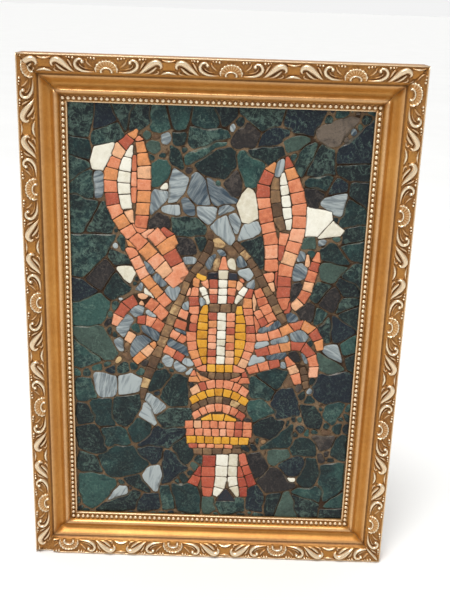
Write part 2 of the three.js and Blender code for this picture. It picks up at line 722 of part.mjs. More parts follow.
// Turns a rail by quarter turns, exactly, and moves it out to its side of the opening.
function placedRail(rail, quarterTurns) {
  const [cos, sin] = [[1, 0], [0, 1], [-1, 0], [0, -1]][quarterTurns];
  const outTo = quarterTurns % 2 ? SIGHT_WIDTH / 2 : SIGHT_HEIGHT / 2;
  return rail.warp((point) => {
    const [x, y] = [point[0], point[1] + outTo];
    point[0] = cos * x - sin * y;
    point[1] = sin * x + cos * y;
  });
}

// The carving has broken away beside the bottom left mitre.
function brokenCorner() {
  const lost = [[168, 20], [190, 20], [190, 60], [171, 60], [168, 38]];
  const breakFloor = 25.2;
  return prism(lost, breakFloor, CLEAR_OF_RAILS);
}

// ---- assembly ----

const panel = new THREE.Group();

const add = (name, solid, material) => panel.add(standingMesh(name, solid, material));

// Each rail's name, the opening's length along it, its quarter turns from the top, where the middle
// of a shell falls along it before it is turned, and its damage.
const rails = [
  ['frame_rail_top', SIGHT_WIDTH, 0, 8, []],
  ['frame_rail_left', SIGHT_HEIGHT, 1, 25, []],
  ['frame_rail_bottom', SIGHT_WIDTH, 2, 39, [brokenCorner()]],
  ['frame_rail_right', SIGHT_HEIGHT, 3, -10.5, []],
];
for (const [name, sightLength, quarterTurns, firstShell, damage] of rails) {
  add(name, placedRail(railSolid(sightLength, firstShell, damage), quarterTurns), finishes.gold);
}

const boardWidth = SIGHT_WIDTH + 2 * (LIP - PANEL_PLAY);
const boardHeight = SIGHT_HEIGHT + 2 * (LIP - PANEL_PLAY);
add('backing_board', prism(rectangle(boardWidth, boardHeight), 0, BOARD_FRONT), finishes.wood);

const obstacles = [];
for (const [name, piece] of Object.entries(pieces)) {
  const solids = piece.bands.map((knots) => {
    const lines = jointLines(knots, piece.tile);
    for (let i = 0; i < lines.length - 1; i += 1) {
      obstacles.push([lines[i].right, lines[i + 1].right, lines[i + 1].left, lines[i].left]);
    }
    return bandSolid(lines);
  });
  const bridges = (piece.bridges ?? []).map(bridge);
  add(name, joined([...solids, ...bridges]), finishes[piece.finish]);
}
for (const [name, stone] of Object.entries(whiteStones)) {
  const outline = roundStone(stone);
  obstacles.push(outline);
  add(name, prism(outline, BED_FRONT, STONE_FRONT), finishes.white);
}

const headOutlines = headStones.map((stone) => roundStone(stone, 5));
obstacles.push(...headOutlines);
const bed = prism(rectangle(boardWidth, boardHeight), BOARD_FRONT, BED_FRONT);
const paving = [...headOutlines, ...fieldStones(obstacles)]
  .map((outline) => prism(outline, BED_FRONT - 1, STONE_FRONT));
add('mortar_bed_with_paving', joined([bed, ...paving]), finishes.green);

export default panel;
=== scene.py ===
"""Mosaic wall panel: a lobster of natural-stone tesserae in a carved, gilded moulding.

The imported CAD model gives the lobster's stones and most of the paving their places and outlines.
Here each of them becomes a cut stone of its own, the mortar a rough bed, and each rail a full
moulding with its carving and row of beads. The paving round the limbs and beside the tail is drawn
here. Drawing is in millimetres in the picture plane: x to the right, up, height out from the wall.
"""
import json
import math

import bpy
import numpy as np
from mathutils import Euler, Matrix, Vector
from mathutils.geometry import delaunay_2d_cdt


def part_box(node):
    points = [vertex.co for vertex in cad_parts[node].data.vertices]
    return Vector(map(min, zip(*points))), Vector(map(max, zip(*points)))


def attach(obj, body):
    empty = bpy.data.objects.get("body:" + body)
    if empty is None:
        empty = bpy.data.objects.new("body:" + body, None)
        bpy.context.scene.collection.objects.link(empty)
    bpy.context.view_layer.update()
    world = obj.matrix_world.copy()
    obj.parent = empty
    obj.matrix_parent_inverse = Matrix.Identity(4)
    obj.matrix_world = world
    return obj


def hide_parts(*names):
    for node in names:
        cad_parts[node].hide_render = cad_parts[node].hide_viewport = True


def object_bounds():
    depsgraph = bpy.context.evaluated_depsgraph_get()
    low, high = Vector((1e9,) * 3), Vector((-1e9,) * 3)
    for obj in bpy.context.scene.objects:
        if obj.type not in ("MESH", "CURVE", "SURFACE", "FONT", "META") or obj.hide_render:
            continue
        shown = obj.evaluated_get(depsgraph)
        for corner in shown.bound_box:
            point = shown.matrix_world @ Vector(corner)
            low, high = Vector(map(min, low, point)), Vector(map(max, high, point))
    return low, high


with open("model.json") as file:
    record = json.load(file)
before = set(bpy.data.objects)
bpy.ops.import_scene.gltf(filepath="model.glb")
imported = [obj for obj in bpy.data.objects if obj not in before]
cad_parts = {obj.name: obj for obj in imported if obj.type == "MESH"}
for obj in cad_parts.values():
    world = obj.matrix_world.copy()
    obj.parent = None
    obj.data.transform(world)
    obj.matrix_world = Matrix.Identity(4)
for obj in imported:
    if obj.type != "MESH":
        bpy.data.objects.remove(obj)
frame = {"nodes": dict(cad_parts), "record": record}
cad_low, cad_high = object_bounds()

MM = 0.001
rng = np.random.default_rng(20261)

# ---- places taken from the frame, in mm ----

rail_low, rail_high = [corner * 1000 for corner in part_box("frame_rail_top")]
bed_low, bed_high = [corner * 1000 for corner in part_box("mortar_bed_with_paving")]
board_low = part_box("backing_board")[0] * 1000
MITRE_GAP = 0.3
MITRE_LOSS = 0.42  # what the open mitres take off a rail's length
MOULDING = rail_high.z - rail_low.z
SIGHT_WIDTH = rail_high.x - rail_low.x - 2 * MOULDING + MITRE_LOSS
SIGHT_HEIGHT = 2 * (rail_high.z - MOULDING)
STONE_FRONT = -bed_low.y
BOARD_FRONT = -board_low.y
FRONT_LIMIT = -cad_low.y * 1000 - 0.05  # the carving stays inside the CAD box
MORTAR_FRONT = STONE_FRONT - 1.35
STONE_BACK = STONE_FRONT - 2.6


# ---- meshes ----

class Surface:
    """Vertices, faces and per-vertex values of one piece, gathered part by part."""

    def __init__(self, *values):
        self.points, self.faces, self.slots = [], [], []
        self.count = 0
        self.values = {name: [] for name in values}

    def add(self, points, faces, slot=0, **values):
        """points are rows of (x, up, height) in mm."""
        self.points.append(points)
        self.faces.extend([tuple(i + self.count for i in face) for face in faces])
        self.slots.extend([slot] * len(faces))
        for name, given in values.items():
            self.values[name].append(np.broadcast_to(given, len(points)))
        self.count += len(points)

    def piece(self, name, materials, replaced):
        """Makes the object, which stands for the CAD nodes in replaced."""
        flat = np.concatenate(self.points)
        world = np.column_stack([flat[:, 0], -flat[:, 2], flat[:, 1]]) * MM
        mesh = bpy.data.meshes.new(name)
        mesh.from_pydata(world.tolist(), [], self.faces)
        for value_name, parts in self.values.items():
            layer = mesh.attributes.new(value_name, "FLOAT", "POINT")
            layer.data.foreach_set("value", np.concatenate(parts).astype(np.float32))
        for material in materials:
            mesh.materials.append(material)
        mesh.polygons.foreach_set("material_index", self.slots)
        mesh.polygons.foreach_set("use_smooth", [True] * len(self.faces))
        mesh.update()
        obj = bpy.data.objects.new(name, mesh)
        bpy.context.collection.objects.link(obj)
        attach(obj, "root")
        if replaced:
            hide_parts(*replaced)


def grid_faces(rows, columns):
    """Quads between the neighbours in a grid of vertices."""
    index = np.arange(rows * columns).reshape(rows, columns)
    quads = np.stack([index[:-1, :-1], index[:-1, 1:], index[1:, 1:], index[1:, :-1]], -1)
    return quads.reshape(-1, 4)


def smooth_noise(x, y, scale, seed):
    """Value noise between -1 and 1, from a seeded lattice."""
    size = 64
    lattice = np.random.default_rng(seed).uniform(-1, 1, (size, size))
    gx, gy = x / scale, y / scale
    ix, iy = np.floor(gx).astype(int), np.floor(gy).astype(int)
    fx, fy = gx - ix, gy - iy
    fx, fy = fx * fx * (3 - 2 * fx), fy * fy * (3 - 2 * fy)

    def corner(i, j):
        return lattice[(ix + i) % size, (iy + j) % size]

    low = corner(0, 0) * (1 - fx) + corner(1, 0) * fx
    high = corner(0, 1) * (1 - fx) + corner(1, 1) * fx
    return low * (1 - fy) + high * fy


# ---- materials ----

class Nodes:
    """A material's node tree, written as a chain of short calls."""

    def __init__(self, name, roughness, metallic=0.0, gloss=0.5):
        self.material = bpy.data.materials.new(name)
        self.material.use_nodes = True
        self.tree = self.material.node_tree
        self.shader = self.tree.nodes["Principled BSDF"]
        self.shader.inputs["Roughness"].default_value = roughness
        self.shader.inputs["Metallic"].default_value = metallic
        self.shader.inputs["Specular IOR Level"].default_value = gloss

    def node(self, kind, output=0, settings=None, **inputs):
        """Adds a node. Its inputs go by name, or by number as i0 and i1."""
        made = self.tree.nodes.new(kind)
        for key, value in (settings or {}).items():
            setattr(made, key, value)
        for key, value in inputs.items():
            socket = made.inputs[int(key[1:]) if key[1:].isdigit() else key.replace("_", " ")]
            if isinstance(value, bpy.types.NodeSocket):
                self.tree.links.new(value, socket)
            else:
                socket.default_value = value
        return made.outputs[output]

    def place(self):
        """The point's place in the row frame, in metres."""
        return self.node("ShaderNodeTexCoord", output=3)

    def value(self, name):
        """A value that the mesh carries at its vertices."""
        return self.node("ShaderNodeAttribute", output=2, settings={"attribute_name": name})

    def math(self, operation, a, b=0.0, clamp=False):
        settings = {"operation": operation, "use_clamp": clamp}
        return self.node("ShaderNodeMath", settings=settings, i0=a, i1=b)

    def plus(self, a, b, clamp=False):
        return self.math("ADD", a, b, clamp)

    def times(self, a, b):
        return self.math("MULTIPLY", a, b)

    def blend(self, a, share, b):
        """A share of a, and for the rest b."""
        return self.plus(self.times(a, share), self.times(b, 1 - share))

    def span(self, value, low, high, to_low=0.0, to_high=1.0):
        """Maps low..high to to_low..to_high, and holds it there."""
        return self.node("ShaderNodeMapRange", Value=value, From_Min=low, From_Max=high,
                         To_Min=to_low, To_Max=to_high)

    def noise(self, vector, scale, detail=4.0, rough=0.55, distortion=0.0):
        return self.node("ShaderNodeTexNoise", Vector=vector, Scale=scale, Detail=detail,
                         Roughness=rough, Distortion=distortion)

    def ramp(self, value, *stops):
        """stops are (place, (r, g, b))."""
        made = self.tree.nodes.new("ShaderNodeValToRGB")
        elements = made.color_ramp.elements
        while len(elements) < len(stops):
            elements.new(0.5)
        for element, (place, colour) in zip(elements, stops):
            element.position = place
            element.color = (*colour, 1)
        self.tree.links.new(value, made.inputs[0])
        return made.outputs[0]

    def mix(self, share, a, b):
        """Colour a with a share of colour b over it."""
        made = self.tree.nodes.new("ShaderNodeMix")
        made.data_type = "RGBA"
        for socket, value in ((made.inputs[0], share), (made.inputs[6], a), (made.inputs[7], b)):
            if isinstance(value, bpy.types.NodeSocket):
                self.tree.links.new(value, socket)
            elif isinstance(value, tuple):
                socket.default_value = (*value, 1)
            else:
                socket.default_value = value
        return made.outputs[2]

    def stained_rim(self, colour, stain, start=0.5, most=0.35):
        return self.mix(self.span(self.value("rim"), start, 1, 0, most), colour, stain)

    def bump(self, height, strength, distance):
        normal = self.node("ShaderNodeBump", Height=height, Strength=strength, Distance=distance)
        self.tree.links.new(normal, self.shader.inputs["Normal"])

    def finish(self, colour, roughness=None, metallic=None):
        self.tree.links.new(colour, self.shader.inputs["Base Color"])
        if roughness is not None:
            self.tree.links.new(roughness, self.shader.inputs["Roughness"])
        if metallic is not None:
            self.tree.links.new(metallic, self.shader.inputs["Metallic"])
        return self.material

    def with_others(self, colour, cloud, others):
        """Swaps in the colours of other kinds, each in its share of the stones."""
        reached = 0.0
        for share, other in others:
            is_other = self.times(self.math("GREATER_THAN", self.value("hue"), reached),
                                  self.math("LESS_THAN", self.value("hue"), reached + share))
            darker, lighter = (tuple(min(1, c * factor) for c in other) for factor in (0.72, 1.2))
            colour = self.mix(is_other, colour, self.mix(self.span(cloud, 0.3, 0.7), darker, lighter))
            reached += share
        return colour

    def own_place(self):
        """The place, moved by the stone's own seed so that no two stones share a pattern."""
        seed = self.value("seed")
        shift = self.node("ShaderNodeCombineXYZ", X=self.times(seed, 3.1), Y=self.times(seed, 1.7),
                          Z=self.times(seed, 2.3))
        return self.vector("ADD", self.place(), shift)

    def vector(self, operation, a, b):
        return self.node("ShaderNodeVectorMath", settings={"operation": operation}, i0=a, i1=b)


def cut_stone(name, stops, mottle=0.25, grain=(0.85, 0.72, 0.6), stain=(0.22, 0.06, 0.03),
              roughness=0.46, others=()):
    """Honed stone: one colour a stone, mottled, with stained rims and fine pits.

    others are (share of the stones, colour) of the kinds that turn up among the main one.
    """
    n = Nodes(name, roughness, gloss=0.22)
    at = n.own_place()
    cloud = n.noise(at, 170, 6, 0.7)
    shade = n.plus(n.value("tone"), n.span(cloud, 0.3, 0.7, -mottle, mottle), clamp=True)
    colour = n.with_others(n.ramp(shade, *stops), cloud, others)
    speck = n.noise(at, 620, 4, 0.75)
    colour = n.mix(n.span(speck, 0.58, 0.72, 0, 0.3), colour, grain)
    colour = n.mix(n.span(speck, 0.42, 0.3, 0, 0.5), colour, stain)
    colour = n.stained_rim(colour, (0.17, 0.1, 0.06), 0.45, 0.55)
    n.bump(n.plus(n.noise(at, 240, 4, 0.6), n.times(speck, 0.35)), 0.32, 0.0006)
    return n.finish(colour, n.span(cloud, 0.3, 0.7, roughness - 0.08, roughness + 0.1))


def veined_stone(name, stops, vein, vein_share, roughness=0.3, others=()):
    """Serpentine and marble: cloudy ground, thin pale veins, blotches on some, small flecks."""
    n = Nodes(name, roughness, gloss=0.22)
    at = n.own_place()
    cloud = n.noise(at, 55, 6, 0.62, 0.6)
    shade = n.plus(n.value("tone"), n.span(cloud, 0.3, 0.7, -0.3, 0.3), clamp=True)
    colour = n.with_others(n.ramp(shade, *stops), cloud, others)
    web = n.noise(at, 42, 7, 0.6, 1.4)
    line = n.math("ABSOLUTE", n.math("SUBTRACT", web, 0.5))
    patch = n.span(n.noise(at, 24, 3), 0.42, 0.6)
    line = n.times(n.span(line, 0.018, 0.002), patch)
    colour = n.mix(n.times(line, vein_share), colour, vein)
    blotch = n.span(n.noise(at, 130, 6, 0.72, 0.6), 0.5, 0.58)
    is_blotched = n.math("GREATER_THAN", n.value("hue"), 0.66)
    colour = n.mix(n.times(n.times(blotch, is_blotched), vein_share * 0.75), colour, vein)
    fleck = n.noise(at, 430, 6, 0.85)
    flecked = n.times(n.span(fleck, 0.51, 0.62), n.span(n.noise(at, 70, 3), 0.38, 0.62, 0.3, 1.0))
    colour = n.mix(n.times(flecked, vein_share * 0.85), colour, vein)
    colour = n.mix(n.span(fleck, 0.46, 0.36, 0, 0.65), colour, (0.006, 0.01, 0.012))
    colour = n.stained_rim(colour, (0.2, 0.16, 0.11))
    n.bump(n.plus(n.noise(at, 90, 4), n.times(fleck, 0.2)), 0.3, 0.0008)
    return n.finish(colour, n.span(cloud, 0.3, 0.7, roughness - 0.06, roughness + 0.12))


def striped_stone(name, pale, dark, roughness=0.36):
    """Grey-blue marble with soft parallel bands, turned differently in each stone."""
    n = Nodes(name, roughness, gloss=0.22)
    at = n.own_place()
    turned = n.node("ShaderNodeVectorRotate", settings={"rotation_type": "Y_AXIS"}, Vector=at,
                    Angle=n.times(n.value("seed"), 31.0))
    band = n.noise(n.vector("MULTIPLY", turned, (1.0, 0.3, 0.14)), 300, 6, 0.62, 0.6)
    shade = n.plus(n.span(band, 0.36, 0.64, -0.25, 0.45), n.value("tone"), clamp=True)
    halfway = tuple((a + b) / 2 for a, b in zip(pale, dark))
    colour = n.ramp(shade, (0.0, dark), (0.5, halfway), (0.85, pale))
    colour = n.stained_rim(colour, (0.2, 0.17, 0.13))
    n.bump(n.noise(at, 180, 4), 0.22, 0.0007)
    return n.finish(colour)


def sandy_mortar():
    """Sandy mortar, darkened by painted shade in the narrow joints, and in its own paler colour where it
    lies open between stones.
    """
    n = Nodes("sandy_mortar", 0.92, gloss=0.1)
    at = n.place()
    grain = n.noise(at, 900, 5, 0.7)
    colour = n.ramp(n.blend(grain, 0.6, n.noise(at, 32, 4, 0.6)), (0.3, (0.064, 0.04, 0.023)),
                    (0.5, (0.15, 0.098, 0.057)), (0.68, (0.28, 0.2, 0.128)))
    # Painted shade: the mortar is darkened where the joint between stones is narrow.
    colour = n.mix(n.value("narrow"), colour, (0.045, 0.027, 0.017))
    n.bump(grain, 0.7, 0.0012)
    return n.finish(colour)


def gilding():
    """Gold paint over carved wood: brown in the hollows, partly stain and partly painted shade, and pale
    on the high places, partly rubbed wear and partly a painted highlight.
    """
    n = Nodes("rubbed_gilding", 0.36, 0.5)
    at = n.place()
    fine = n.noise(at, 260, 5, 0.7)
    gold = n.ramp(n.blend(n.noise(at, 16, 4, 0.6), 0.6, fine), (0.3, (0.36, 0.14, 0.018)),
                  (0.5, (0.47, 0.205, 0.034)), (0.7, (0.57, 0.28, 0.06)))
    # Pale on the high places: partly rubbed wear, partly a painted highlight.
    rub_and_highlight = n.times(n.value("rubbed"), n.span(fine, 0.25, 0.5, 0.7, 1.0))
    colour = n.mix(rub_and_highlight, gold, (0.9, 0.82, 0.62))
    # Darkening in the hollows: partly real stain, partly painted shade.
    stain = n.times(n.value("hollow"), n.span(fine, 0.25, 0.7, 1.0, 0.75))
    colour = n.mix(stain, colour, (0.1, 0.04, 0.01))
    nick = n.span(n.noise(at, 300, 2, 0.5), 0.775, 0.8)
    colour = n.mix(n.times(nick, 0.8), colour, (0.06, 0.03, 0.012))
    n.bump(n.plus(fine, n.times(nick, -0.6)), 0.14, 0.0006)
    rough = n.plus(n.span(rub_and_highlight, 0, 1, 0.36, 0.22), n.times(stain, 0.35))
    metal = n.times(n.span(rub_and_highlight, 0, 1, 0.45, 0.8), n.span(stain, 0, 1, 1.0, 0.3))
    return n.finish(colour, rough, metal)


def raw_wood():
    """The unpainted back of the rails."""
    n = Nodes("raw_wood", 0.78)
    grain = n.noise(n.place(), 420, 4, 0.7)
    colour = n.ramp(n.blend(n.noise(n.place(), 40, 5, 0.6), 0.7, grain), (0.3, (0.3, 0.19, 0.1)),
                    (0.5, (0.45, 0.31, 0.18)), (0.7, (0.56, 0.41, 0.26)))
    n.bump(grain, 0.3, 0.0006)
    return n.finish(colour)


def raw_board():
    """The backing board, with an upright grain."""
    n = Nodes("raw_board", 0.75)
    grain = n.noise(n.vector("MULTIPLY", n.place(), (1.0, 1.0, 0.06)), 170, 6, 0.6, 0.7)
    colour = n.ramp(grain, (0.3, (0.2, 0.12, 0.06)), (0.55, (0.36, 0.24, 0.13)),
                    (0.75, (0.46, 0.33, 0.2)))
    n.bump(grain, 0.3, 0.0008)
    return n.finish(colour)


STONES = {
    "pink": cut_stone(
        "pink_stone", mottle=0.3,
        stops=((0.0, (0.42, 0.11, 0.05)), (0.35, (0.58, 0.19, 0.09)), (0.65, (0.66, 0.25, 0.13)),
               (1.0, (0.72, 0.36, 0.22))),
        others=((0.12, (0.6, 0.24, 0.09)), (0.12, (0.7, 0.38, 0.21)), (0.18, (0.38, 0.085, 0.045)))),
    "red": cut_stone(
        "red_stone",
        stops=((0.0, (0.25, 0.035, 0.02)), (0.5, (0.4, 0.08, 0.04)), (1.0, (0.5, 0.13, 0.07)))),
    "white": cut_stone(
        "white_stone", mottle=0.3, stain=(0.45, 0.38, 0.26), roughness=0.38,
        stops=((0.0, (0.54, 0.49, 0.36)), (0.5, (0.7, 0.67, 0.56)), (1.0, (0.78, 0.76, 0.66)))),
    "yellow": cut_stone(
        "yellow_stone",
        stops=((0.0, (0.42, 0.17, 0.012)), (0.5, (0.6, 0.28, 0.018)), (1.0, (0.7, 0.38, 0.05)))),
    "brown": cut_stone(
        "brown_stone", grain=(0.4, 0.3, 0.2),
        stops=((0.0, (0.05, 0.028, 0.016)), (0.5, (0.13, 0.075, 0.04)), (0.8, (0.26, 0.15, 0.07)),
               (1.0, (0.5, 0.34, 0.16)))),
    "black": cut_stone(
        "black_stone", grain=(0.15, 0.15, 0.16), roughness=0.34,
        stops=((0.0, (0.004, 0.006, 0.01)), (1.0, (0.02, 0.025, 0.035)))),
    "green": veined_stone(
        "green_marble", vein=(0.15, 0.24, 0.19), vein_share=0.4,
        stops=((0.0, (0.003, 0.006, 0.009)), (0.35, (0.005, 0.012, 0.013)),
               (0.65, (0.007, 0.025, 0.026)), (1.0, (0.024, 0.068, 0.058))),
        others=((0.14, (0.005, 0.009, 0.017)), (0.1, (0.042, 0.07, 0.056)))),
    "slate": veined_stone(
        "dark_slate", vein=(0.22, 0.18, 0.15), vein_share=0.25,
        stops=((0.0, (0.008, 0.007, 0.008)), (0.6, (0.022, 0.018, 0.017)), (1.0, (0.13, 0.1, 0.075)))),
    "grey": striped_stone("grey_marble", pale=(0.34, 0.38, 0.38), dark=(0.035, 0.055, 0.075))}
KINDS = list(STONES)
GOLD = gilding()
RAW_WOOD = raw_wood()


# ---- outlines on a fine grid ----

CELL = 0.4
FAR = 99.0
SMALLEST_STONE = 8  # mm2
HALF_WIDTH = (bed_high.x - bed_low.x) / 2 - CELL
HALF_HEIGHT = (bed_high.z - bed_low.z) / 2 - CELL
grid_x = np.arange(-HALF_WIDTH, HALF_WIDTH + CELL, CELL)
grid_up = np.arange(-HALF_HEIGHT, HALF_HEIGHT + CELL, CELL)
mesh_x, mesh_up = np.meshgrid(grid_x, grid_up, indexing="ij")
raggedness = (0.4 * smooth_noise(mesh_x + 300, mesh_up + 300, 3.1, 5)
              + 0.25 * smooth_noise(mesh_x + 300, mesh_up + 300, 1.3, 6))


def distance_to(outline, x, up):
    """Distance from the outline, negative inside it."""
    shape = np.broadcast(x, up).shape
    nearest = np.full(shape, np.inf)
    is_inside = np.zeros(shape, bool)
    for (ax, ay), (bx, by) in zip(outline, np.roll(outline, -1, axis=0)):
        dx, dy = bx - ax, by - ay
        t = np.clip(((x - ax) * dx + (up - ay) * dy) / (dx * dx + dy * dy + 1e-12), 0, 1)
        nearest = np.minimum(nearest, (x - ax - t * dx) ** 2 + (up - ay - t * dy) ** 2)
        if ay != by:
            is_inside ^= ((ay > up) != (by > up)) & (x < dx * (up - ay) / dy + ax)
    return np.where(is_inside, -1, 1) * np.sqrt(nearest)


# Sides of a cell crossed by a contour that keeps the high ground on its left, by which corners are
# high. Corners run anticlockwise from the lowest, and side n runs from corner n to the next.
CROSSINGS = {
    1: [(0, 3)], 2: [(1, 0)], 3: [(1, 3)], 4: [(2, 1)], 5: [(0, 3), (2, 1)], 6: [(2, 0)], 7: [(2, 3)],
    8: [(3, 2)], 9: [(0, 2)], 10: [(1, 0), (3, 2)], 11: [(1, 2)], 12: [(3, 1)], 13: [(0, 1)],
    14: [(3, 0)]}


def contours(values, x, up, keep_every):
    """Closed outlines, anticlockwise, of the places where values on the grid are above nought."""
    high = np.pad(values, 1, constant_values=-1.0)
    x = np.concatenate([[2 * x[0] - x[1]], x, [2 * x[-1] - x[-2]]])
    up = np.concatenate([[2 * up[0] - up[1]], up, [2 * up[-1] - up[-2]]])
    above = high > 0
    case = above[:-1, :-1] + 2 * above[1:, :-1] + 4 * above[1:, 1:] + 8 * above[:-1, 1:]
    following = {}
    for i, j in zip(*np.nonzero((case > 0) & (case < 15))):
        sides = [(i, j, 0), (i + 1, j, 1), (i, j + 1, 0), (i, j, 1)]
        for a, b in CROSSINGS[int(case[i, j])]:
            following[sides[a]] = sides[b]
    found = []
    while following:
        first, side = following.popitem()
        ring = [first]
        while side != first:
            ring.append(side)
            side = following.pop(side)
        points = []
        for i, j, is_upright in ring[::keep_every]:
            i2, j2 = (i, j + 1) if is_upright else (i + 1, j)
            share = high[i, j] / (high[i, j] - high[i2, j2])
            points.append((x[i] + (x[i2] - x[i]) * share, up[j] + (up[j2] - up[j]) * share))
        if len(points) > 3:
            found.append(np.array(points))
    return found


def area_of(outline):
    """The area in an outline, negative where it runs clockwise."""
    following = np.roll(outline, -1, axis=0)
    return 0.5 * float(np.sum(outline[:, 0] * following[:, 1] - following[:, 0] * outline[:, 1]))


def anticlockwise(points):
    """The outline of these points, turned round where it runs clockwise."""
    outline = np.array(points, float)
    return outline if area_of(outline) > 0 else outline[::-1]


def softened(grid, passes):
    """Each cell averaged with its neighbours, which rounds the corners of its contours."""
    for _ in range(passes):
        padded = np.pad(grid, 1, mode="edge")
        grid = (padded[:-2, 1:-1] + padded[2:, 1:-1] + padded[1:-1, :-2] + padded[1:-1, 2:] + grid) / 5
    return grid


class Stones:
    """Stones that share out the picture. Each cell of the grid knows its nearest stone, and how far
    that stone and the next one are."""

    def __init__(self, reach, waviness):
        self.reach = reach
        self.at_x = mesh_x + waviness * smooth_noise(mesh_x + 400, mesh_up + 400, 9.0, 61)
        self.at_up = mesh_up + waviness * smooth_noise(mesh_x + 400, mesh_up + 400, 9.0, 62)
        self.outlines, self.facts = [], []
        self.first = np.full(mesh_x.shape, FAR)
        self.second = self.first.copy()
        self.label = np.full(mesh_x.shape, -1)

    def window(self, outline):
        """The part of the grid within reach of an outline."""
        half = np.array([HALF_WIDTH, HALF_HEIGHT])
        low = ((outline.min(axis=0) - self.reach + half) / CELL).astype(int)
        high = ((outline.max(axis=0) + self.reach + half) / CELL).astype(int) + 1
        return tuple(slice(max(0, a), max(0, b)) for a, b in zip(low, high))

    def add(self, outline, **facts):
        i, j = self.window(outline)
        distance = distance_to(outline, self.at_x[i, j], self.at_up[i, j])
        first, second, label = self.first[i, j], self.second[i, j], self.label[i, j]
        is_nearer = distance < first
        second[...] = np.where(is_nearer, first, np.minimum(second, distance))
        first[...] = np.minimum(first, distance)
        label[is_nearer] = len(self.outlines)
        self.outlines.append(outline)
        self.facts.append(facts)

    def shares(self, index, limit, growth, joint, rounding):
        """Outlines of a stone that has grown by up to growth, and leaves a joint to each neighbour.

        It keeps to the cells where limit is above nought. rounding softens its corners.
        """
        outline = self.outlines[index]
        i, j = self.window(outline)
        own = distance_to(outline, self.at_x[i, j], self.at_up[i, j])
        first = self.first[i, j]
        margin = np.where(self.label[i, j] == index, self.second[i, j] - first, first - own)
        share = np.minimum(np.minimum(margin - joint, limit[i, j] * 1.5), growth - own)
        share = softened(np.clip(share, -3, 3), rounding) + raggedness[i, j]
        found = contours(share, grid_x[i], grid_up[j], keep_every=4)
        return [ring for ring in found if area_of(ring) > SMALLEST_STONE]


# ---- single stones ----

def front_outlines(node):
    """Outlines (x, up), anticlockwise, of a node's flat faces in the stones' front plane."""
    mesh = frame["nodes"][node].data
    corners = np.array([v.co for v in mesh.vertices]) * 1000
    keys = [tuple(np.round(c, 2)) for c in corners]
    at_front = np.abs(corners[:, 1] + STONE_FRONT) < 0.01
    directed = set()
    for face in mesh.polygons:
        if all(at_front[i] for i in face.vertices):
            ring = [keys[i] for i in face.vertices]
            directed.update(zip(ring, ring[1:] + ring[:1]))
    following = {a: b for a, b in directed if (b, a) not in directed}
    outlines = []
    while following:
        start = min(following)
        point = following.pop(start)
        ring = [start]
        while point != start:
            ring.append(point)
            point = following.pop(point)
        outlines.append(anticlockwise([(x, z) for x, _, z in ring]))
    return outlines


def halves(outline, point, direction):
    """A convex outline cut in two by a line."""
    side = (outline - point) @ np.array([-direction[1], direction[0]])
    parts = ([], [])
    for k, (a, b) in enumerate(zip(outline, np.roll(outline, -1, axis=0))):
        s, t = side[k], side[(k + 1) % len(outline)]
        parts[0 if s > 0 else 1].append(a)
        if s * t < 0:
            crossing = a + (b - a) * s / (s - t)
            parts[0].append(crossing)
            parts[1].append(crossing)
    return [np.array(part) for part in parts if len(part) > 2]


def front_mesh(outline):
    """Triangles over a stone's front, finest along its edge: vertices, faces, outline's vertices."""
    low, high = outline.min(axis=0), outline.max(axis=0)
    x, up = (np.arange(low[k] - 0.4, high[k] + 0.4, 0.3) for k in (0, 1))
    depth = -distance_to(outline, x[:, None], up[None, :])
    points = [tuple(p) for p in outline]
    edges = []
    for inset, every in ((0.32, 3), (1.0, 4)):
        for ring in contours(depth - inset, x, up, every):
            start = len(points)
            points.extend(map(tuple, ring))
            edges.extend((start + k, start + (k + 1) % len(ring)) for k in range(len(ring)))
    spacing, innermost = 2.4, 1.6
    spots = np.meshgrid(*(np.arange(low[k], high[k], spacing) for k in (0, 1)), indexing="ij")
    spots = np.column_stack([spot.ravel() for spot in spots])
    spots += rng.uniform(-0.4, 0.4, spots.shape)
    is_within = distance_to(outline, spots[:, 0], spots[:, 1]) < -innermost
    points.extend(tuple(p) for p in spots[is_within])
    corners, _, triangles, origins, _, _ = delaunay_2d_cdt(
        [Vector(p) for p in points], edges, [list(range(len(outline)))], 1, 1e-5, True)
    position = {origin: k for k, given in enumerate(origins) for origin in given}
    return np.array([tuple(c) for c in corners]), triangles, [position[k] for k in range(len(outline))]


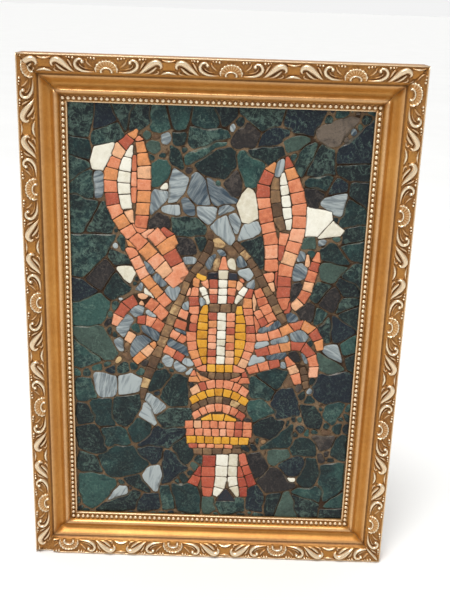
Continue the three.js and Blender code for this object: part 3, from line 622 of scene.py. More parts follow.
def add_stone(surface, outline, slot, tone, hue):
    """One cut stone: a chipped arris round a front that is a little crowned and tilted."""
    flat, triangles, rim = front_mesh(outline)
    depth = np.clip(-distance_to(outline, flat[:, 0], flat[:, 1]), 0, None)
    seed = int(rng.integers(1 << 30))
    middle = flat.mean(axis=0)
    reach = float(np.abs(flat - middle).max())
    meets_lip = np.any(np.abs(middle) + reach > np.array([SIGHT_WIDTH, SIGHT_HEIGHT]) / 2 - 1)
    looseness = 0.15 if meets_lip else 1.0
    tilt = rng.uniform(-1, 1, 2) * min(0.04, 0.24 / reach) * looseness
    crown = rng.uniform(0.05, 0.26) * looseness
    top = STONE_FRONT - 0.12 + rng.uniform(-0.18, 0.08) * looseness
    chips = smooth_noise(flat[:, 0] + 300, flat[:, 1] + 300, 1.5, seed)
    swell = smooth_noise(flat[:, 0] + 300, flat[:, 1] + 300, 5.0, seed + 1)
    arris = (0.62 + 0.3 * chips) * np.exp(-depth / 0.24)
    crowning = (crown + 0.07 * looseness * swell) * (1 - np.exp(-depth / 2.2))
    height = top + (flat - middle) @ tilt - arris + crowning
    foot = np.column_stack([outline + (outline - middle) * 0.01, np.full(len(outline), STONE_BACK)])
    count, start = len(outline), len(flat)
    faces = [tuple(face) for face in triangles]
    faces += [(start + k, start + (k + 1) % count, rim[(k + 1) % count], rim[k])
              for k in range(count) if rim[k] != rim[(k + 1) % count]]
    faces.append(tuple(start + k for k in range(count - 1, -1, -1)))
    nearness = np.concatenate([np.exp(-depth / 0.5), np.ones(count)])
    points = np.concatenate([np.column_stack([flat, height]), foot])
    surface.add(points, faces, slot, rim=nearness, tone=tone, hue=hue, seed=rng.uniform(0, 1))


# ---- the picture: lists of stones ----

# Paving of the CAD that isn't green: (x, up, kind, tone), for the stone that holds the point.
FIELD_KINDS = [
    (-121, 145, "grey", 0.25), (122, -31, "grey", 0.4), (110, 134, "grey", 0.5), (95, 141, "slate", 0.1),
    (99, 18, "slate", 0.4), (109, 33, "slate", 0.3), (-107, 49, "slate", 0.4), (-91, 61, "white", 0.4),
    (-0.6, 66.4, "brown", 0.9), (15.6, 66.4, "white", 0.1), (-13.2, 50.6, "yellow", 0.9),
    (25.6, 49.2, "pink", 0.3)]

# Narrow tiles and fillets that close up the figure between its larger stones, by node.
FILLETS = {
    "left_claw": [
        [(-82.4, 187.7), (-77.1, 191.3), (-73.9, 187.2), (-80, 185.4)],
        [(-97.1, 97.9), (-85.9, 104.6), (-80.4, 96.6), (-89.6, 89.7)],
        [(-85.3, 105.4), (-81, 101.1), (-70, 100.1), (-75.5, 95.6), (-79.8, 96.6)],
        [(-76.7, 94.8), (-69.2, 99.3), (-60.8, 100.9), (-69.6, 94), (-72, 90.9)],
        [(-90.4, 88.5), (-86.9, 87.4), (-80.2, 80.3), (-87.6, 81.1)]],
    "right_claw": [
        [(57.8, 60.4), (61.4, 60.4), (61.4, 40.8), (58.2, 42.7)],
        [(73.5, 21.2), (74.7, 28.6), (76.7, 25.9), (75.5, 16.9), (69.6, 16.9)]],
    "right_crown": [
        [(37.8, 38.4), (41, 28.6), (39.4, 17.6), (37.5, 27.1)],
        [(39.4, 14.3), (46.1, 2.4), (42.9, -5.5), (40.6, 3.5)],
        [(52, 1.6), (60.8, 9), (59.4, 7.1), (54.7, 1.2)],
        [(21, 49), (26.1, 47.5), (26.5, 43.9), (23.3, 40), (20.6, 41.6)]],
    "left_crown": [
        [(-24.5, 47.1), (-22.5, 48.2), (-24.9, 32.9), (-29.6, 32.9)],
        [(-14.7, 47.1), (-8, 49), (-7.3, 41.6), (-11.2, 41.2)]],
    "left_flank": [
        [(-18.2, -46.7), (-12.7, -44.3), (-7.6, -43.5), (-7.6, -50.2), (-12.7, -51)],
        [(-27.1, 12.4), (-24.5, 13.7), (-26.1, -6.3), (-28.4, -5.1)]],
    "right_flank": [
        [(20.2, -43.1), (24.9, -44.3), (32, -46.7), (30.8, -50.6), (20.6, -50.4)]],
    "tail_ring_1": [
        [(-19.4, -51.4), (-12.7, -56.5), (-4.9, -59.6), (-12.7, -61.6)],
        [(32.4, -51.4), (25.5, -56.5), (18.2, -59.6), (26.1, -61.6)]],
    "left_leg_4": [
        [(-66.9, -22.4), (-62.2, -27.1), (-59, -23.5), (-62.2, -18.4)]],
    "left_leg_3": [
        [(-92.7, -17.6), (-88.8, -8.2), (-81, -12.5), (-86.3, -21.6)]],
    "left_leg_1": [
        [(-81.8, 30.6), (-74.5, 32.9), (-66.9, 28.6), (-71.6, 21.6), (-79, 22.7)]]}

# Stones that fill in between the claws and limbs and round the head: (kind, tone, outline).
BETWEEN_LIMBS = [
    ("grey", 0.5, [(-47, 160), (-41.5, 160), (-28.5, 152), (-30, 146), (-37, 135.5), (-40, 128),
                   (-50, 126.5)]),
    ("grey", 0.15, [(-21.5, 160), (-18, 157), (-14, 150), (-8.5, 127), (-26, 129), (-29.5, 139),
                    (-27.5, 147)]),
    ("grey", 0.05, [(-14, 154.5), (17, 132.5), (13.5, 128), (-4, 125.5), (-8, 129)]),
    ("grey", 0.45, [(-62.5, 140), (-52, 137.5), (-50.5, 132.5), (-64, 119), (-67.5, 114), (-66.5, 125)]),
    ("grey", 0.7, [(-53.5, 122), (-37.5, 127), (-36.5, 117), (-41, 115), (-52, 117)]),
    ("grey", 0.1, [(-35.5, 129), (-31.5, 131), (-27.5, 130), (-23, 124), (-23.5, 118), (-26.5, 115),
                   (-34.5, 120)]),
    ("grey", 0.6, [(-21.5, 124.5), (-4, 124.5), (-2.5, 122), (-6, 107.5), (-14.5, 110), (-19.5, 114)]),
    ("grey", 0.3, [(0, 123), (7, 126), (12.5, 127), (14.5, 123), (1, 116), (-2, 119)]),
    ("white", 0.5, [(-56.5, 140.5), (-54, 146), (-51, 146.5), (-50, 141.5), (-52, 139)]),
    ("green", 1.0, [(-64.5, 166), (-58, 170), (-51, 169), (-48, 162), (-50, 151.5), (-58, 144.5),
                    (-64.5, 140.5)]),
    ("slate", 0.2, [(-67.5, 109), (-61, 115), (-56, 116), (-47, 109), (-48, 101.5), (-65.5, 100.5)]),
    ("green", 0.35, [(-46, 112), (-20.5, 113), (-12.5, 107.5), (-12, 94.5), (-41, 95.5), (-47, 103)]),
    ("slate", 0.1, [(-40, 93.5), (-30.5, 93.5), (-22.5, 86.5), (-21.5, 79), (-24.5, 74), (-34.5, 74),
                    (-41, 81)]),
    ("slate", 0.5, [(11, 159), (16.5, 160), (21.5, 153.5), (22.5, 148.5), (16.5, 136), (11, 136),
                    (6, 147.5)]),
    ("green", 0.85, [(16.5, 176), (22.5, 179), (43, 168), (40, 160), (35.5, 146.5), (26.5, 145.5),
                     (20.5, 155)]),
    ("green", 0.95, [(36.5, 191.5), (43, 202.5), (67.5, 203), (56, 189.5), (46, 185.5), (35.5, 184.5)]),
    ("green", 0.2, [(61, 189.5), (79.5, 203), (93, 189.5), (83.5, 182.5), (62.5, 181)]),
    ("slate", 0.45, [(12, 189.5), (26.5, 206.5), (38, 199.5), (33.5, 186.5), (29.5, 184.5),
                     (14.5, 184.5)]),
    ("slate", 1.0, [(90, 202.5), (124.5, 216), (130.5, 217), (112.5, 190.5), (103, 189.5), (95, 195.5)]),
    ("green", 0.7, [(-35, 171), (-24.5, 177), (1, 188.5), (7, 191), (1, 184.5), (-32.5, 166)]),
    ("green", 0.3, [(-48, 182.5), (-40, 179), (-36.5, 174), (-34, 162), (-37.5, 160.5), (-45, 166),
                    (-49, 174)]),
    ("green", 0.25, [(-24, 165), (0, 180), (12, 182.5), (15.5, 178), (14.5, 166), (7, 155), (-12, 156),
                     (-21, 160.5)]),
    ("green", 0.45, [(-47, 195.5), (-33, 199.5), (-33, 183), (-44, 184.5)]),
    ("green", 0.5, [(-32, 204), (7, 203.5), (9.5, 193.5), (-12.5, 186), (-24.5, 181), (-31.5, 185.5)]),
    ("green", 0.3, [(27, 183), (58, 182.5), (60, 177), (46, 169.5), (28.5, 177)]),
    ("grey", 0.6, [(-6.9, 105), (8.4, 116), (15.9, 93.2), (13.9, 86.2), (5.9, 91.7)]),
    ("grey", 0.5, [(10.4, 116), (15.7, 118.1), (21.8, 107.4), (19, 99.5), (13.9, 101.1)]),
    ("grey", 0.7, [(21, 91.7), (23.7, 105), (39.8, 110.1), (42.9, 101.5), (32.4, 96.6)]),
    ("green", 0.1, [(24.5, 89.7), (43.1, 97.9), (46.1, 87.7), (46.1, 68.1), (41.2, 65.2), (32.4, 78.9)]),
    ("brown", 0.95, [(-5.9, 89.7), (0, 92.1), (6.9, 87.4), (2.5, 83.8)]),
    ("green", 0.3, [(-21.6, 91.7), (-12.7, 93.2), (-4.9, 80.9), (-7.8, 77), (-16.7, 79.9)]),
    ("brown", 0.5, [(6.9, 80.9), (13.1, 81.5), (18.6, 75), (11.8, 75)]),
    ("grey", 0.5, [(53.5, 168.1), (58.2, 174.4), (61.4, 173.6), (60.2, 160.3), (55.5, 157.4)]),
    ("grey", 0.4, [(-88.2, 15.3), (-83.3, 21.2), (-76.5, 22.4), (-71.6, 17.3), (-74.5, 9.4),
                   (-82.4, 6.5)]),
    ("grey", 0.7, [(-70.6, 14.3), (-66.7, 16.9), (-52, 5.1), (-55.9, 3.9)]),
    ("grey", 0.5, [(-98, -6.3), (-95.1, 2.5), (-89.2, 6.5), (-84.3, 4.5), (-86.3, -2.4), (-93.1, -12.2)]),
    ("grey", 0.2, [(-85.3, -33.7), (-82.4, -20), (-74.5, -9.2), (-64.7, -16.5), (-71.6, -27.5),
                   (-81.4, -37.3)]),
    ("grey", 0.05, [(-74.5, -4.3), (-69.6, -2.4), (-56.7, -11.2), (-54.9, -15.1), (-60.8, -17.6),
                    (-73.5, -8.2)]),
    ("grey", 0.4, [(-102.5, -22), (-98, -14.5), (-94.3, -19), (-93.1, -31.8), (-97.1, -30.8)]),
    ("grey", 0.2, [(-72.5, 65.3), (-68.6, 66.7), (-61.8, 58.4), (-65.7, 52.9), (-71.6, 59.4)]),
    ("grey", 0.2, [(-64.7, 51.6), (-59.8, 54.1), (-50, 46.7), (-51.4, 40.2), (-57.8, 42.7)]),
    ("grey", 0.4, [(-52, 37.8), (-45.1, 40.4), (-38.6, 33.9), (-40.6, 28.6), (-46.1, 31)]),
    ("white", 0.4, [(-72.5, 38.8), (-67.6, 37.8), (-60.2, 28.6), (-63.7, 27.5), (-71.6, 32.9)]),
    ("grey", 0.6, [(-32.7, 23.1), (-24.5, 25.5), (-23.5, 17.6), (-31.6, 19.2)]),
    ("grey", 0.4, [(-39.8, 10.4), (-30.8, 6.3), (-32.4, 4.3), (-37.3, 4.3)]),
    ("grey", 0.1, [(-40.2, -3.3), (-28.4, -8.2), (-28.8, -12.2), (-35.9, -9.8)]),
    ("grey", 0.05, [(-49, -16.1), (-28.8, -27.5), (-27.6, -32.7), (-39.2, -26.9), (-47.6, -20.4)]),
    ("grey", 0.05, [(43.1, -6.3), (58.6, 7.1), (64.1, 4.5), (62.7, 1.6)]),
    ("grey", 0.8, [(42.2, -19), (48, -14.9), (55.5, -14.9), (55.9, -18), (42.2, -22)]),
    ("grey", 0.4, [(57.5, -13.7), (69.2, -7.8), (73.9, -10.2), (72.5, -13.7), (59.8, -18)]),
    ("grey", 0.3, [(78.4, -6.3), (83.3, -2.7), (93.1, -3.7), (95.1, -11.8), (90.8, -13.7),
                   (79.4, -12.5)]),
    ("grey", 0, [(51.6, -32.2), (73.1, -26.3), (74.7, -29.8), (57.8, -35.3)]),
    ("grey", 0.9, [(35.9, -38), (49.6, -33.3), (51.6, -35.7), (36.7, -40)]),
    ("grey", 0.4, [(90.2, -24.3), (93.5, -26.3), (97.5, -37.6), (95.1, -39.6), (90.4, -31.8)]),
    ("grey", 0.5, [(88.2, -39.6), (96.1, -43.5), (98, -52.4), (92.2, -49.4)]),
    ("slate", 0.1, [(78.4, -26.9), (86.3, -26.9), (89.6, -35.7), (83.3, -35.3)]),
    ("brown", 0.4, [(84.3, -37.6), (88.2, -37.6), (90.8, -45.5), (87.3, -45.5)]),
    ("grey", 0.3, [(77.5, 52.5), (81.4, 69.8), (86.3, 70.6), (88.8, 60.4), (85.3, 51)]),
    ("slate", 0.1, [(76.7, 49.6), (85.3, 49.6), (85.3, 39.8), (77.5, 31)]),
    ("grey", 0.3, [(81.4, 80), (87.6, 79), (87.6, 72.5), (81.8, 71.8)]),
    ("grey", 0.9, [(24.5, 60.8), (28.8, 64.7), (35.1, 58.4), (33.9, 51), (29.4, 50.6)]),
    ("grey", 0.4, [(30, 47.6), (38.2, 50.6), (36.3, 41.8), (33.3, 39.8)]),
    ("grey", 0.2, [(19.8, 69.8), (23.5, 72.2), (28.8, 67.8), (26.5, 64.3), (21, 66.3)]),
    ("grey", 0.2, [(-12.4, 69.2), (-3.3, 75.7), (-3.9, 65.3), (-7.3, 62.4)]),
    ("brown", 0.5, [(-11.8, 60.4), (-9.6, 61.2), (-8.4, 58.8), (-12.7, 58)]),
    ("grey", 0.5, [(-33.9, 71.8), (-24.9, 72.9), (-22.2, 66.7), (-24.5, 63.5), (-30, 65.3)]),
    ("slate", 0.2, [(-26.1, 62.4), (-22.5, 62), (-24.5, 58), (-26.5, 58.8)]),
    ("brown", 0.2, [(-35.1, 32), (-32, 32.2), (-33.1, 28.2), (-36.3, 28.6)]),
    ("grey", 0.2, [(1, 79.9), (4.9, 79.9), (9.8, 75), (4.9, 73)]),
    ("brown", 0.6, [(-91.2, -22), (-87.3, -22), (-89.6, -29.8), (-92.7, -26.9)])]

# Paving stones on both sides of the tail and below it: (kind, tone, outline).
BESIDE_TAIL = [
    ("grey", 0.5, [(-125.5, -65), (-121.5, -59.5), (-102, -58), (-104, -80.5), (-117.5, -84.5)]),
    ("grey", 0.75, [(-101, -58), (-77, -59), (-74, -65), (-78, -77), (-84, -79), (-99, -79)]),
    ("green", 0.75, [(-143, -62), (-127, -62), (-124.5, -86), (-142, -87)]),
    ("green", 0.2, [(-143, -89.5), (-136, -91.5), (-129.5, -98), (-124.5, -105), (-126, -112),
                    (-142, -116)]),
    ("green", 0.6, [(-129.5, -86.5), (-106, -85.5), (-108, -99), (-106, -116), (-120.5, -119)]),
    ("green", 0.4, [(-103, -81.5), (-77.5, -80.5), (-79.5, -97), (-86.5, -113), (-96, -116),
                    (-106, -107)]),
    ("grey", 0.8, [(-70.5, -88.5), (-65.5, -95.5), (-61, -117), (-74.5, -106), (-77.5, -102)]),
    ("grey", 0.6, [(-67.5, -78.5), (-57, -83.5), (-52, -94.5), (-60, -102), (-71.5, -84.5)]),
    ("green", 0.4, [(-58, -48.5), (-43, -55.5), (-52, -63), (-56, -71), (-65.5, -75), (-67.5, -67)]),
    ("green", 0.35, [(-40, -55.5), (-28, -57.5), (-27.5, -89), (-44, -92.5), (-54, -81.5), (-48, -64)]),
    ("green", 0.25, [(-60, -105), (-46, -95.5), (-28.5, -92.5), (-22.5, -97), (-30.5, -113),
                     (-52, -116)]),
    ("green", 0.6, [(-89, -119), (-79.5, -108), (-65.5, -116), (-64, -125), (-77.5, -134.5),
                    (-85.5, -132.5)]),
    ("green", 0.05, [(-77.5, -135.5), (-62, -118), (-28.5, -117), (-28.5, -124.5), (-43, -138.5),
                     (-77.5, -138.5)]),
    ("green", 0.15, [(-143, -121), (-124.5, -119), (-114.5, -132.5), (-114.5, -148), (-140, -145.5)]),
    ("green", 0.7, [(-121.5, -119), (-97, -117), (-89, -127.5), (-87.5, -136.5), (-113.5, -138.5)]),
    ("green", 0.5, [(-122.5, -155), (-103, -144.5), (-85.5, -141.5), (-68.5, -162), (-81.5, -173.5),
                    (-110, -178)]),
    ("green", 0.3, [(-143, -147.5), (-130.5, -150), (-122.5, -156), (-118.5, -172), (-142, -172.5)]),
    ("green", 0.45, [(-77.5, -141.5), (-53, -140.5), (-52, -152), (-62, -160), (-71.5, -152)]),
    ("green", 0.05, [(-52, -148), (-40, -146.5), (-26.5, -167), (-44, -181.5), (-52, -185.5)]),
    ("green", 0.15, [(-40, -136.5), (-28.5, -125), (-20.5, -150), (-28.5, -160), (-38, -154)]),
    ("grey", 0.8, [(-68.5, -166), (-53, -162), (-54, -177.5), (-60, -195), (-71.5, -177.5)]),
    ("green", 0.05, [(-93, -179.5), (-77.5, -174.5), (-68.5, -195), (-85.5, -187.5)]),
    ("green", 1.0, [(-143, -175.5), (-126.5, -175.5), (-101, -185.5), (-113, -201), (-128.5, -218),
                    (-140, -213)]),
    ("grey", 0.75, [(-113, -206), (-99, -189.5), (-89, -190.5), (-91, -197), (-105, -204)]),
    ("green", 0.05, [(-124.5, -219), (-83.5, -197.5), (-77.5, -199), (-83.5, -219)]),
    ("green", 0.3, [(-79.5, -207), (-71.5, -200), (-58, -198.5), (-56, -217), (-79.5, -219)]),
    ("green", 0.65, [(-56, -187.5), (-44, -187.5), (-38, -217), (-52, -219)]),
    ("green", 0.55, [(-42, -186.5), (-14.5, -188.5), (-9, -201), (-12.5, -219), (-37, -217)]),
    ("green", 0.3, [(-12.5, -190.5), (-1, -203), (7, -217), (-9, -219)]),
    ("green", 0.5, [(5, -208), (34.5, -204), (37, -217), (12.5, -219.5)]),
    ("green", 0.45, [(40, -189.5), (48, -186.5), (60, -197), (56, -216), (42, -215)]),
    ("slate", 0.0, [(41, -147), (52, -144.5), (62.5, -158), (58, -172), (48, -175.5)]),
    ("slate", 0.35, [(65.5, -160), (79.5, -170), (95, -187.5), (63.5, -191.5), (52, -177.5)]),
    ("white", 0.5, [(81.5, -172), (91, -174.5), (88, -179.5), (83.5, -177.5)]),
    ("green", 1.0, [(74.5, -160), (91, -146.5), (102, -152), (95, -170), (81.5, -170)]),
    ("green", 0.4, [(97, -170), (103, -150), (112.5, -150), (116.5, -166), (111, -187.5), (95, -187.5)]),
    ("green", 0.65, [(120.5, -156), (144, -154), (144, -197), (122.5, -209), (118.5, -177.5)]),
    ("green", 0.35, [(62, -142.5), (81.5, -139.5), (85.5, -144.5), (67.5, -159), (63.5, -154)]),
    ("green", 0.4, [(87, -136.5), (95, -124.5), (105, -127.5), (112.5, -138.5), (107, -145.5),
                    (89, -144.5)]),
    ("slate", 0.65, [(109, -124.5), (132.5, -122.5), (130.5, -135.5), (118.5, -138.5)]),
    ("green", 0.5, [(54, -138.5), (67.5, -124.5), (85.5, -111), (86.5, -132.5), (65.5, -137.5)]),
    ("green", 0.0, [(43, -109), (62.5, -100), (75.5, -107), (62, -128.5), (48, -121)]),
    ("green", 0.8, [(41, -83.5), (54, -82.5), (64.5, -95.5), (56, -102), (43, -110)]),
    ("green", 0.95, [(60.5, -73.5), (81.5, -66), (93, -91.5), (91, -96.5), (68.5, -100)]),
    ("green", 0.05, [(92, -86.5), (107, -89.5), (116.5, -101), (114.5, -115), (103, -112)]),
    ("green", 0.8, [(121.5, -85.5), (132.5, -79.5), (138, -85.5), (128.5, -107), (116.5, -99)]),
    ("green", 0.45, [(132.5, -124.5), (144, -121), (144, -150), (130.5, -142.5)])]

# The four large white marbles, in their own irregular outlines.
MARBLES = {
    "left_white_stone": [(-123.5, 158), (-125.5, 166), (-121, 180), (-103, 184.5), (-101.5, 178),
                         (-106.5, 165.5), (-113, 157.5)],
    "middle_white_stone": [(17.5, 127), (22.5, 139), (28, 145), (33.5, 142), (38, 128), (38.5, 115),
                           (30, 108.5), (23.5, 110)],
    "right_white_stone": [(87, 98.5), (87.5, 127), (111.5, 123.5), (112, 115), (98, 98.5)],
    "outer_white_stone": [(99.5, 96), (113, 114), (125.5, 104.5), (121.5, 99.5)]}


def field_kind(outline):
    """Kind and tone of a paving stone of the CAD."""
    for x, up, kind, tone in FIELD_KINDS:
        if distance_to(outline, np.array([x]), np.array([up]))[0] < 0.5:
            return kind, tone
    return "green", green_tone(outline)


def green_tone(outline):
    """A tone for a green stone; the row along the top edge is nearly all dark."""
    is_in_top_row = outline[:, 1].mean() > SIGHT_HEIGHT / 2 - 24
    return float(np.clip(rng.normal(0.1 if is_in_top_row else 0.4, 0.33), 0, 1))


def is_redrawn(outline, drawn):
    """Whether a stone of the lists above takes the place of this paving stone of the CAD."""
    middle = outline.mean(axis=0)
    for _, _, other in drawn:
        centre = other.mean(axis=0)
        to_centre = distance_to(outline, centre[:1], centre[1:])[0]
        to_middle = distance_to(other, middle[:1], middle[1:])[0]
        if min(to_centre, to_middle) < 0:
            return True
    return False


def lay_figure(slot_of):
    """The lobster's stones and the four marbles, in the outlines of their CAD nodes."""
    figure = Stones(6, 0.35)
    for node in slot_of:
        outlines = [np.array(MARBLES[node])] if node in MARBLES else front_outlines(node)
        outlines += [anticlockwise(outline) for outline in FILLETS.get(node, ())]
        for outline in outlines:
            figure.add(outline, node=node)
    return figure


def build_figure(figure, slot_of, inside_figure):
    """One piece for each CAD node of the figure, with all its stones."""
    for node, slot in slot_of.items():
        surface = Surface("rim", "tone", "hue", "seed")
        for index, facts in enumerate(figure.facts):
            if facts["node"] == node:
                tone, hue = float(np.clip(rng.normal(0.48, 0.22), 0, 1)), rng.uniform(0, 1)
                for outline in figure.shares(index, inside_figure, 2.6, 0.7, 2):
                    add_stone(surface, outline, 0, tone, hue)
        surface.piece(node + "_stones", [STONES[slot.removesuffix("_stone")]], [node])


def parts_of(outline, kind):
    """A paving stone, or two halves of it where it is larger than real ones."""
    largest = 330 if kind == "green" else 230
    if area_of(outline) <= largest or rng.uniform() >= 0.85:
        return [outline]
    spread = outline - outline.mean(axis=0)
    across = np.linalg.eigh(spread.T @ spread)[1][:, 0]
    turn = rng.uniform(-0.5, 0.5)
    direction = (across[0] * math.cos(turn) - across[1] * math.sin(turn),
                 across[0] * math.sin(turn) + across[1] * math.cos(turn))
    return halves(outline, outline.mean(axis=0) + rng.uniform(-3, 3, 2), direction)


def lay_field():
    """The paving: the stones drawn above, and elsewhere those of the CAD."""
    field = Stones(8, 1.9)
    drawn = [(kind, tone, anticlockwise(outline))
             for kind, tone, outline in BETWEEN_LIMBS + BESIDE_TAIL]
    for kind, tone, outline in drawn:
        field.add(outline, kind=kind, tone=tone)
    for outline in front_outlines("mortar_bed_with_paving"):
        if is_redrawn(outline, drawn):
            continue
        kind, tone = field_kind(outline)
        parts = parts_of(outline, kind)
        for part in parts:
            if len(parts) == 1 or (kind != "green" and field_kind(part)[0] == kind):
                field.add(part, kind=kind, tone=tone)
            else:
                field.add(part, kind="green", tone=green_tone(part))
    return field


def add_pebbles(field, figure, around_figure):
    """Small stones, one by one, in the widest gap that is left."""
    narrowest = 4.6
    while True:
        room = np.where(around_figure > 0.6, np.minimum(field.first, figure.first + 1.2), 0)
        i, j = np.unravel_index(np.argmax(room), room.shape)
        if room[i, j] < narrowest:
            return
        x, up = grid_x[i], grid_up[j]
        turns = np.sort(rng.uniform(0, 2 * math.pi, 6))
        sizes = min(room[i, j] * 0.62, 5.5) * rng.uniform(0.75, 1.1, 6)
        outline = np.column_stack([x + sizes * np.cos(turns), up + sizes * np.sin(turns)])
        is_among_legs = abs(x) < 100 and -60 < up < 75
        shares = [0.42, 0.36, 0.16, 0.06] if is_among_legs else [0.06, 0.72, 0.16, 0.06]
        kind = str(rng.choice(["grey", "green", "slate", "brown"], p=shares))
        field.add(outline, kind=kind, tone=float(np.clip(rng.normal(0.45, 0.25), 0, 1)))


def build_field(field, around_figure):
    """The paving, as one piece."""
    surface = Surface("rim", "tone", "hue", "seed")
    for index, facts in enumerate(field.facts):
        growth, joint = rng.uniform(2.2, 4.8), rng.uniform(1.0, 2.3)
        for outline in field.shares(index, around_figure, growth, joint, 22):
            add_stone(surface, outline, KINDS.index(facts["kind"]), facts["tone"], rng.uniform(0, 1))
    surface.piece("field_stones", list(STONES.values()), ["mortar_bed_with_paving"])


def build_picture():
    """Builds every stone, and gives each cell's distance from the nearest one."""
    slot_of = {part["node"]: part["material_slot"] for part in frame["record"]["subparts"]
               if part["material_slot"].endswith("_stone")}
    figure = lay_figure(slot_of)
    # The narrow gaps between the lobster's own stones belong to the lobster too.
    nowhere, widest_gap = -9.0, 3.3
    gap = np.where(figure.first > 1.7, nowhere, widest_gap - (figure.first + figure.second))
    inside_figure = np.maximum(0.3 - 1.5 * figure.first, gap)
    around_figure = -inside_figure - 0.8
    build_figure(figure, slot_of, inside_figure)
    field = lay_field()
    add_pebbles(field, figure, around_figure)
    build_field(field, around_figure)
    # The paving's joints are wider than the lobster's, so the mortar in them gets less painted shade and
    # lies a little higher.
    return np.minimum(field.first + 0.8, figure.first)


def build_mortar(to_stones):
    """A rough bed between the stones, closed below on the board.

    to_stones is the distance of each cell of the picture from the nearest stone.
    """
    pitch = 1.4
    half_width = (bed_high.x - bed_low.x) / 2
    half_height = (bed_high.z - bed_low.z) / 2
    columns = int(2 * half_width / pitch) + 1
    rows = int(2 * half_height / pitch) + 1
    x, up = np.meshgrid(np.linspace(-half_width, half_width, columns),
                        np.linspace(-half_height, half_height, rows))
    column = np.clip(((x + HALF_WIDTH) / CELL).astype(int), 0, len(grid_x) - 1)
    row = np.clip(((up + HALF_HEIGHT) / CELL).astype(int), 0, len(grid_up) - 1)
    # Painted shade in the narrow joints; the same value lowers the mortar there.
    narrow = np.clip(1 - (to_stones[column, row] - 0.9), 0, 1)
    height = MORTAR_FRONT + 0.25 * smooth_noise(x + 200, up + 300, 6, 7)
    height += 0.16 * smooth_noise(x + 200, up + 300, 1.8, 8)
    height += 0.35 * (1 - narrow)
    front = np.column_stack([x.ravel(), up.ravel(), height.ravel()])
    faces = [tuple(face) for face in grid_faces(rows, columns)]
    index = np.arange(rows * columns).reshape(rows, columns)
    edge = [*index[0], *index[1:, -1], *index[-1, -2::-1], *index[-2:0:-1, 0]]
    back = front[edge].copy()
    back[:, 2] = BOARD_FRONT
    count, start = len(edge), len(front)
    faces += [(edge[(i + 1) % count], edge[i], start + i, start + (i + 1) % count)
              for i in range(count)]
    faces.append(tuple(start + i for i in range(count - 1, -1, -1)))
    surface = Surface("narrow")
    surface.add(np.concatenate([front, back]), faces,
                narrow=np.concatenate([narrow.ravel(), np.ones(count)]))
    surface.piece("mortar_bed", [sandy_mortar()], ["mortar_bed_with_paving"])


# ---- the moulding ----

LIP = 7.5
LIP_UNDERSIDE = 12.3
OUTER_HEIGHT = 28.4
BAND_INNER = (27.6, 26.2)
BAND_WIDTH = 15.2
BAND_SLOPE = math.atan2(OUTER_HEIGHT - BAND_INNER[1], 42.6 - BAND_INNER[0])
PERIOD = 114.5
REPEAT_STEP = 0.2
BEAD_PITCH = 5.2
BEAD_OUT = 3.9
BEAD_RADIUS = 1.95
BEAD_HEIGHT = 15.9

# Section of the moulding: (out from the sight edge, height from the wall, stain and painted shade, rubbed
# wear and painted highlight).
SECTION = [
    (0, LIP_UNDERSIDE, 0.2, 0), (0, 15.0, 0, 0.2), (0.35, 15.5, 0, 0.5), (1.1, 15.7, 0, 0.25),
    (1.7, 15.4, 0.3, 0), (2.2, 15.1, 0.5, 0), (3.9, 15.0, 0.6, 0), (5.6, 15.1, 0.5, 0),
    (6.0, 15.5, 0.2, 0.1), (6.5, 15.6, 0.2, 0), (6.8, 15.3, 0.7, 0), (7.0, 15.6, 0.6, 0),
    (7.2, 16.6, 0.1, 0), (7.7, 17.9, 0, 0), (8.5, 19.1, 0, 0.1), (9.4, 20.0, 0, 0.15),
    (10.3, 20.3, 0, 0.2), (11.2, 20.1, 0, 0.15), (12.2, 19.3, 0, 0.05), (13.3, 18.2, 0, 0),
    (14.6, 17.0, 0, 0), (15.7, 16.4, 0.05, 0), (16.7, 16.3, 0.1, 0), (17.7, 16.6, 0.05, 0),
    (18.8, 17.4, 0, 0), (20.0, 18.5, 0, 0), (21.2, 19.8, 0, 0), (22.4, 21.0, 0, 0.05),
    (23.5, 21.9, 0, 0.1), (24.5, 22.3, 0, 0.15), (25.0, 21.9, 0.6, 0), (25.3, 21.6, 0.9, 0),
    (25.7, 22.2, 0.9, 0), (26.4, 23.4, 0.5, 0), (27.0, 24.4, 0.3, 0), (27.6, 24.9, 0.2, 0),
    (28.6, 24.4, 0.3, 0), (41.2, 26.0, 0.3, 0), (42.4, 26.6, 0.6, 0), (42.7, 27.6, 0.1, 0.3),
    (43.1, 28.2, 0, 0.5), (43.7, 28.3, 0, 0.5), (44, 27.8, 0, 0.3), (44, 20, 0, 0), (44, 10, 0, 0),
    (44, 0.4, 0.2, 0), (43.6, 0, 0.2, 0), (30, 0, 0.5, 0), (LIP + 0.4, 0, 0.5, 0), (LIP, 0.4, 0.5, 0),
    (LIP, LIP_UNDERSIDE, 0.5, 0)]


def catmull(values, t):
    """Catmull-Rom interpolation of evenly spaced values."""
    padded = np.array([2 * values[0] - values[1], *values, 2 * values[-1] - values[-2]])
    i = np.clip(np.floor(t).astype(int), 0, len(values) - 2)
    f = t - i
    p0, p1, p2, p3 = padded[i], padded[i + 1], padded[i + 2], padded[i + 3]
    return 0.5 * (2 * p1 + (p2 - p0) * f + (2 * p0 - 5 * p1 + 4 * p2 - p3) * f ** 2
                  + (3 * p1 - p0 - 3 * p2 + p3) * f ** 3)


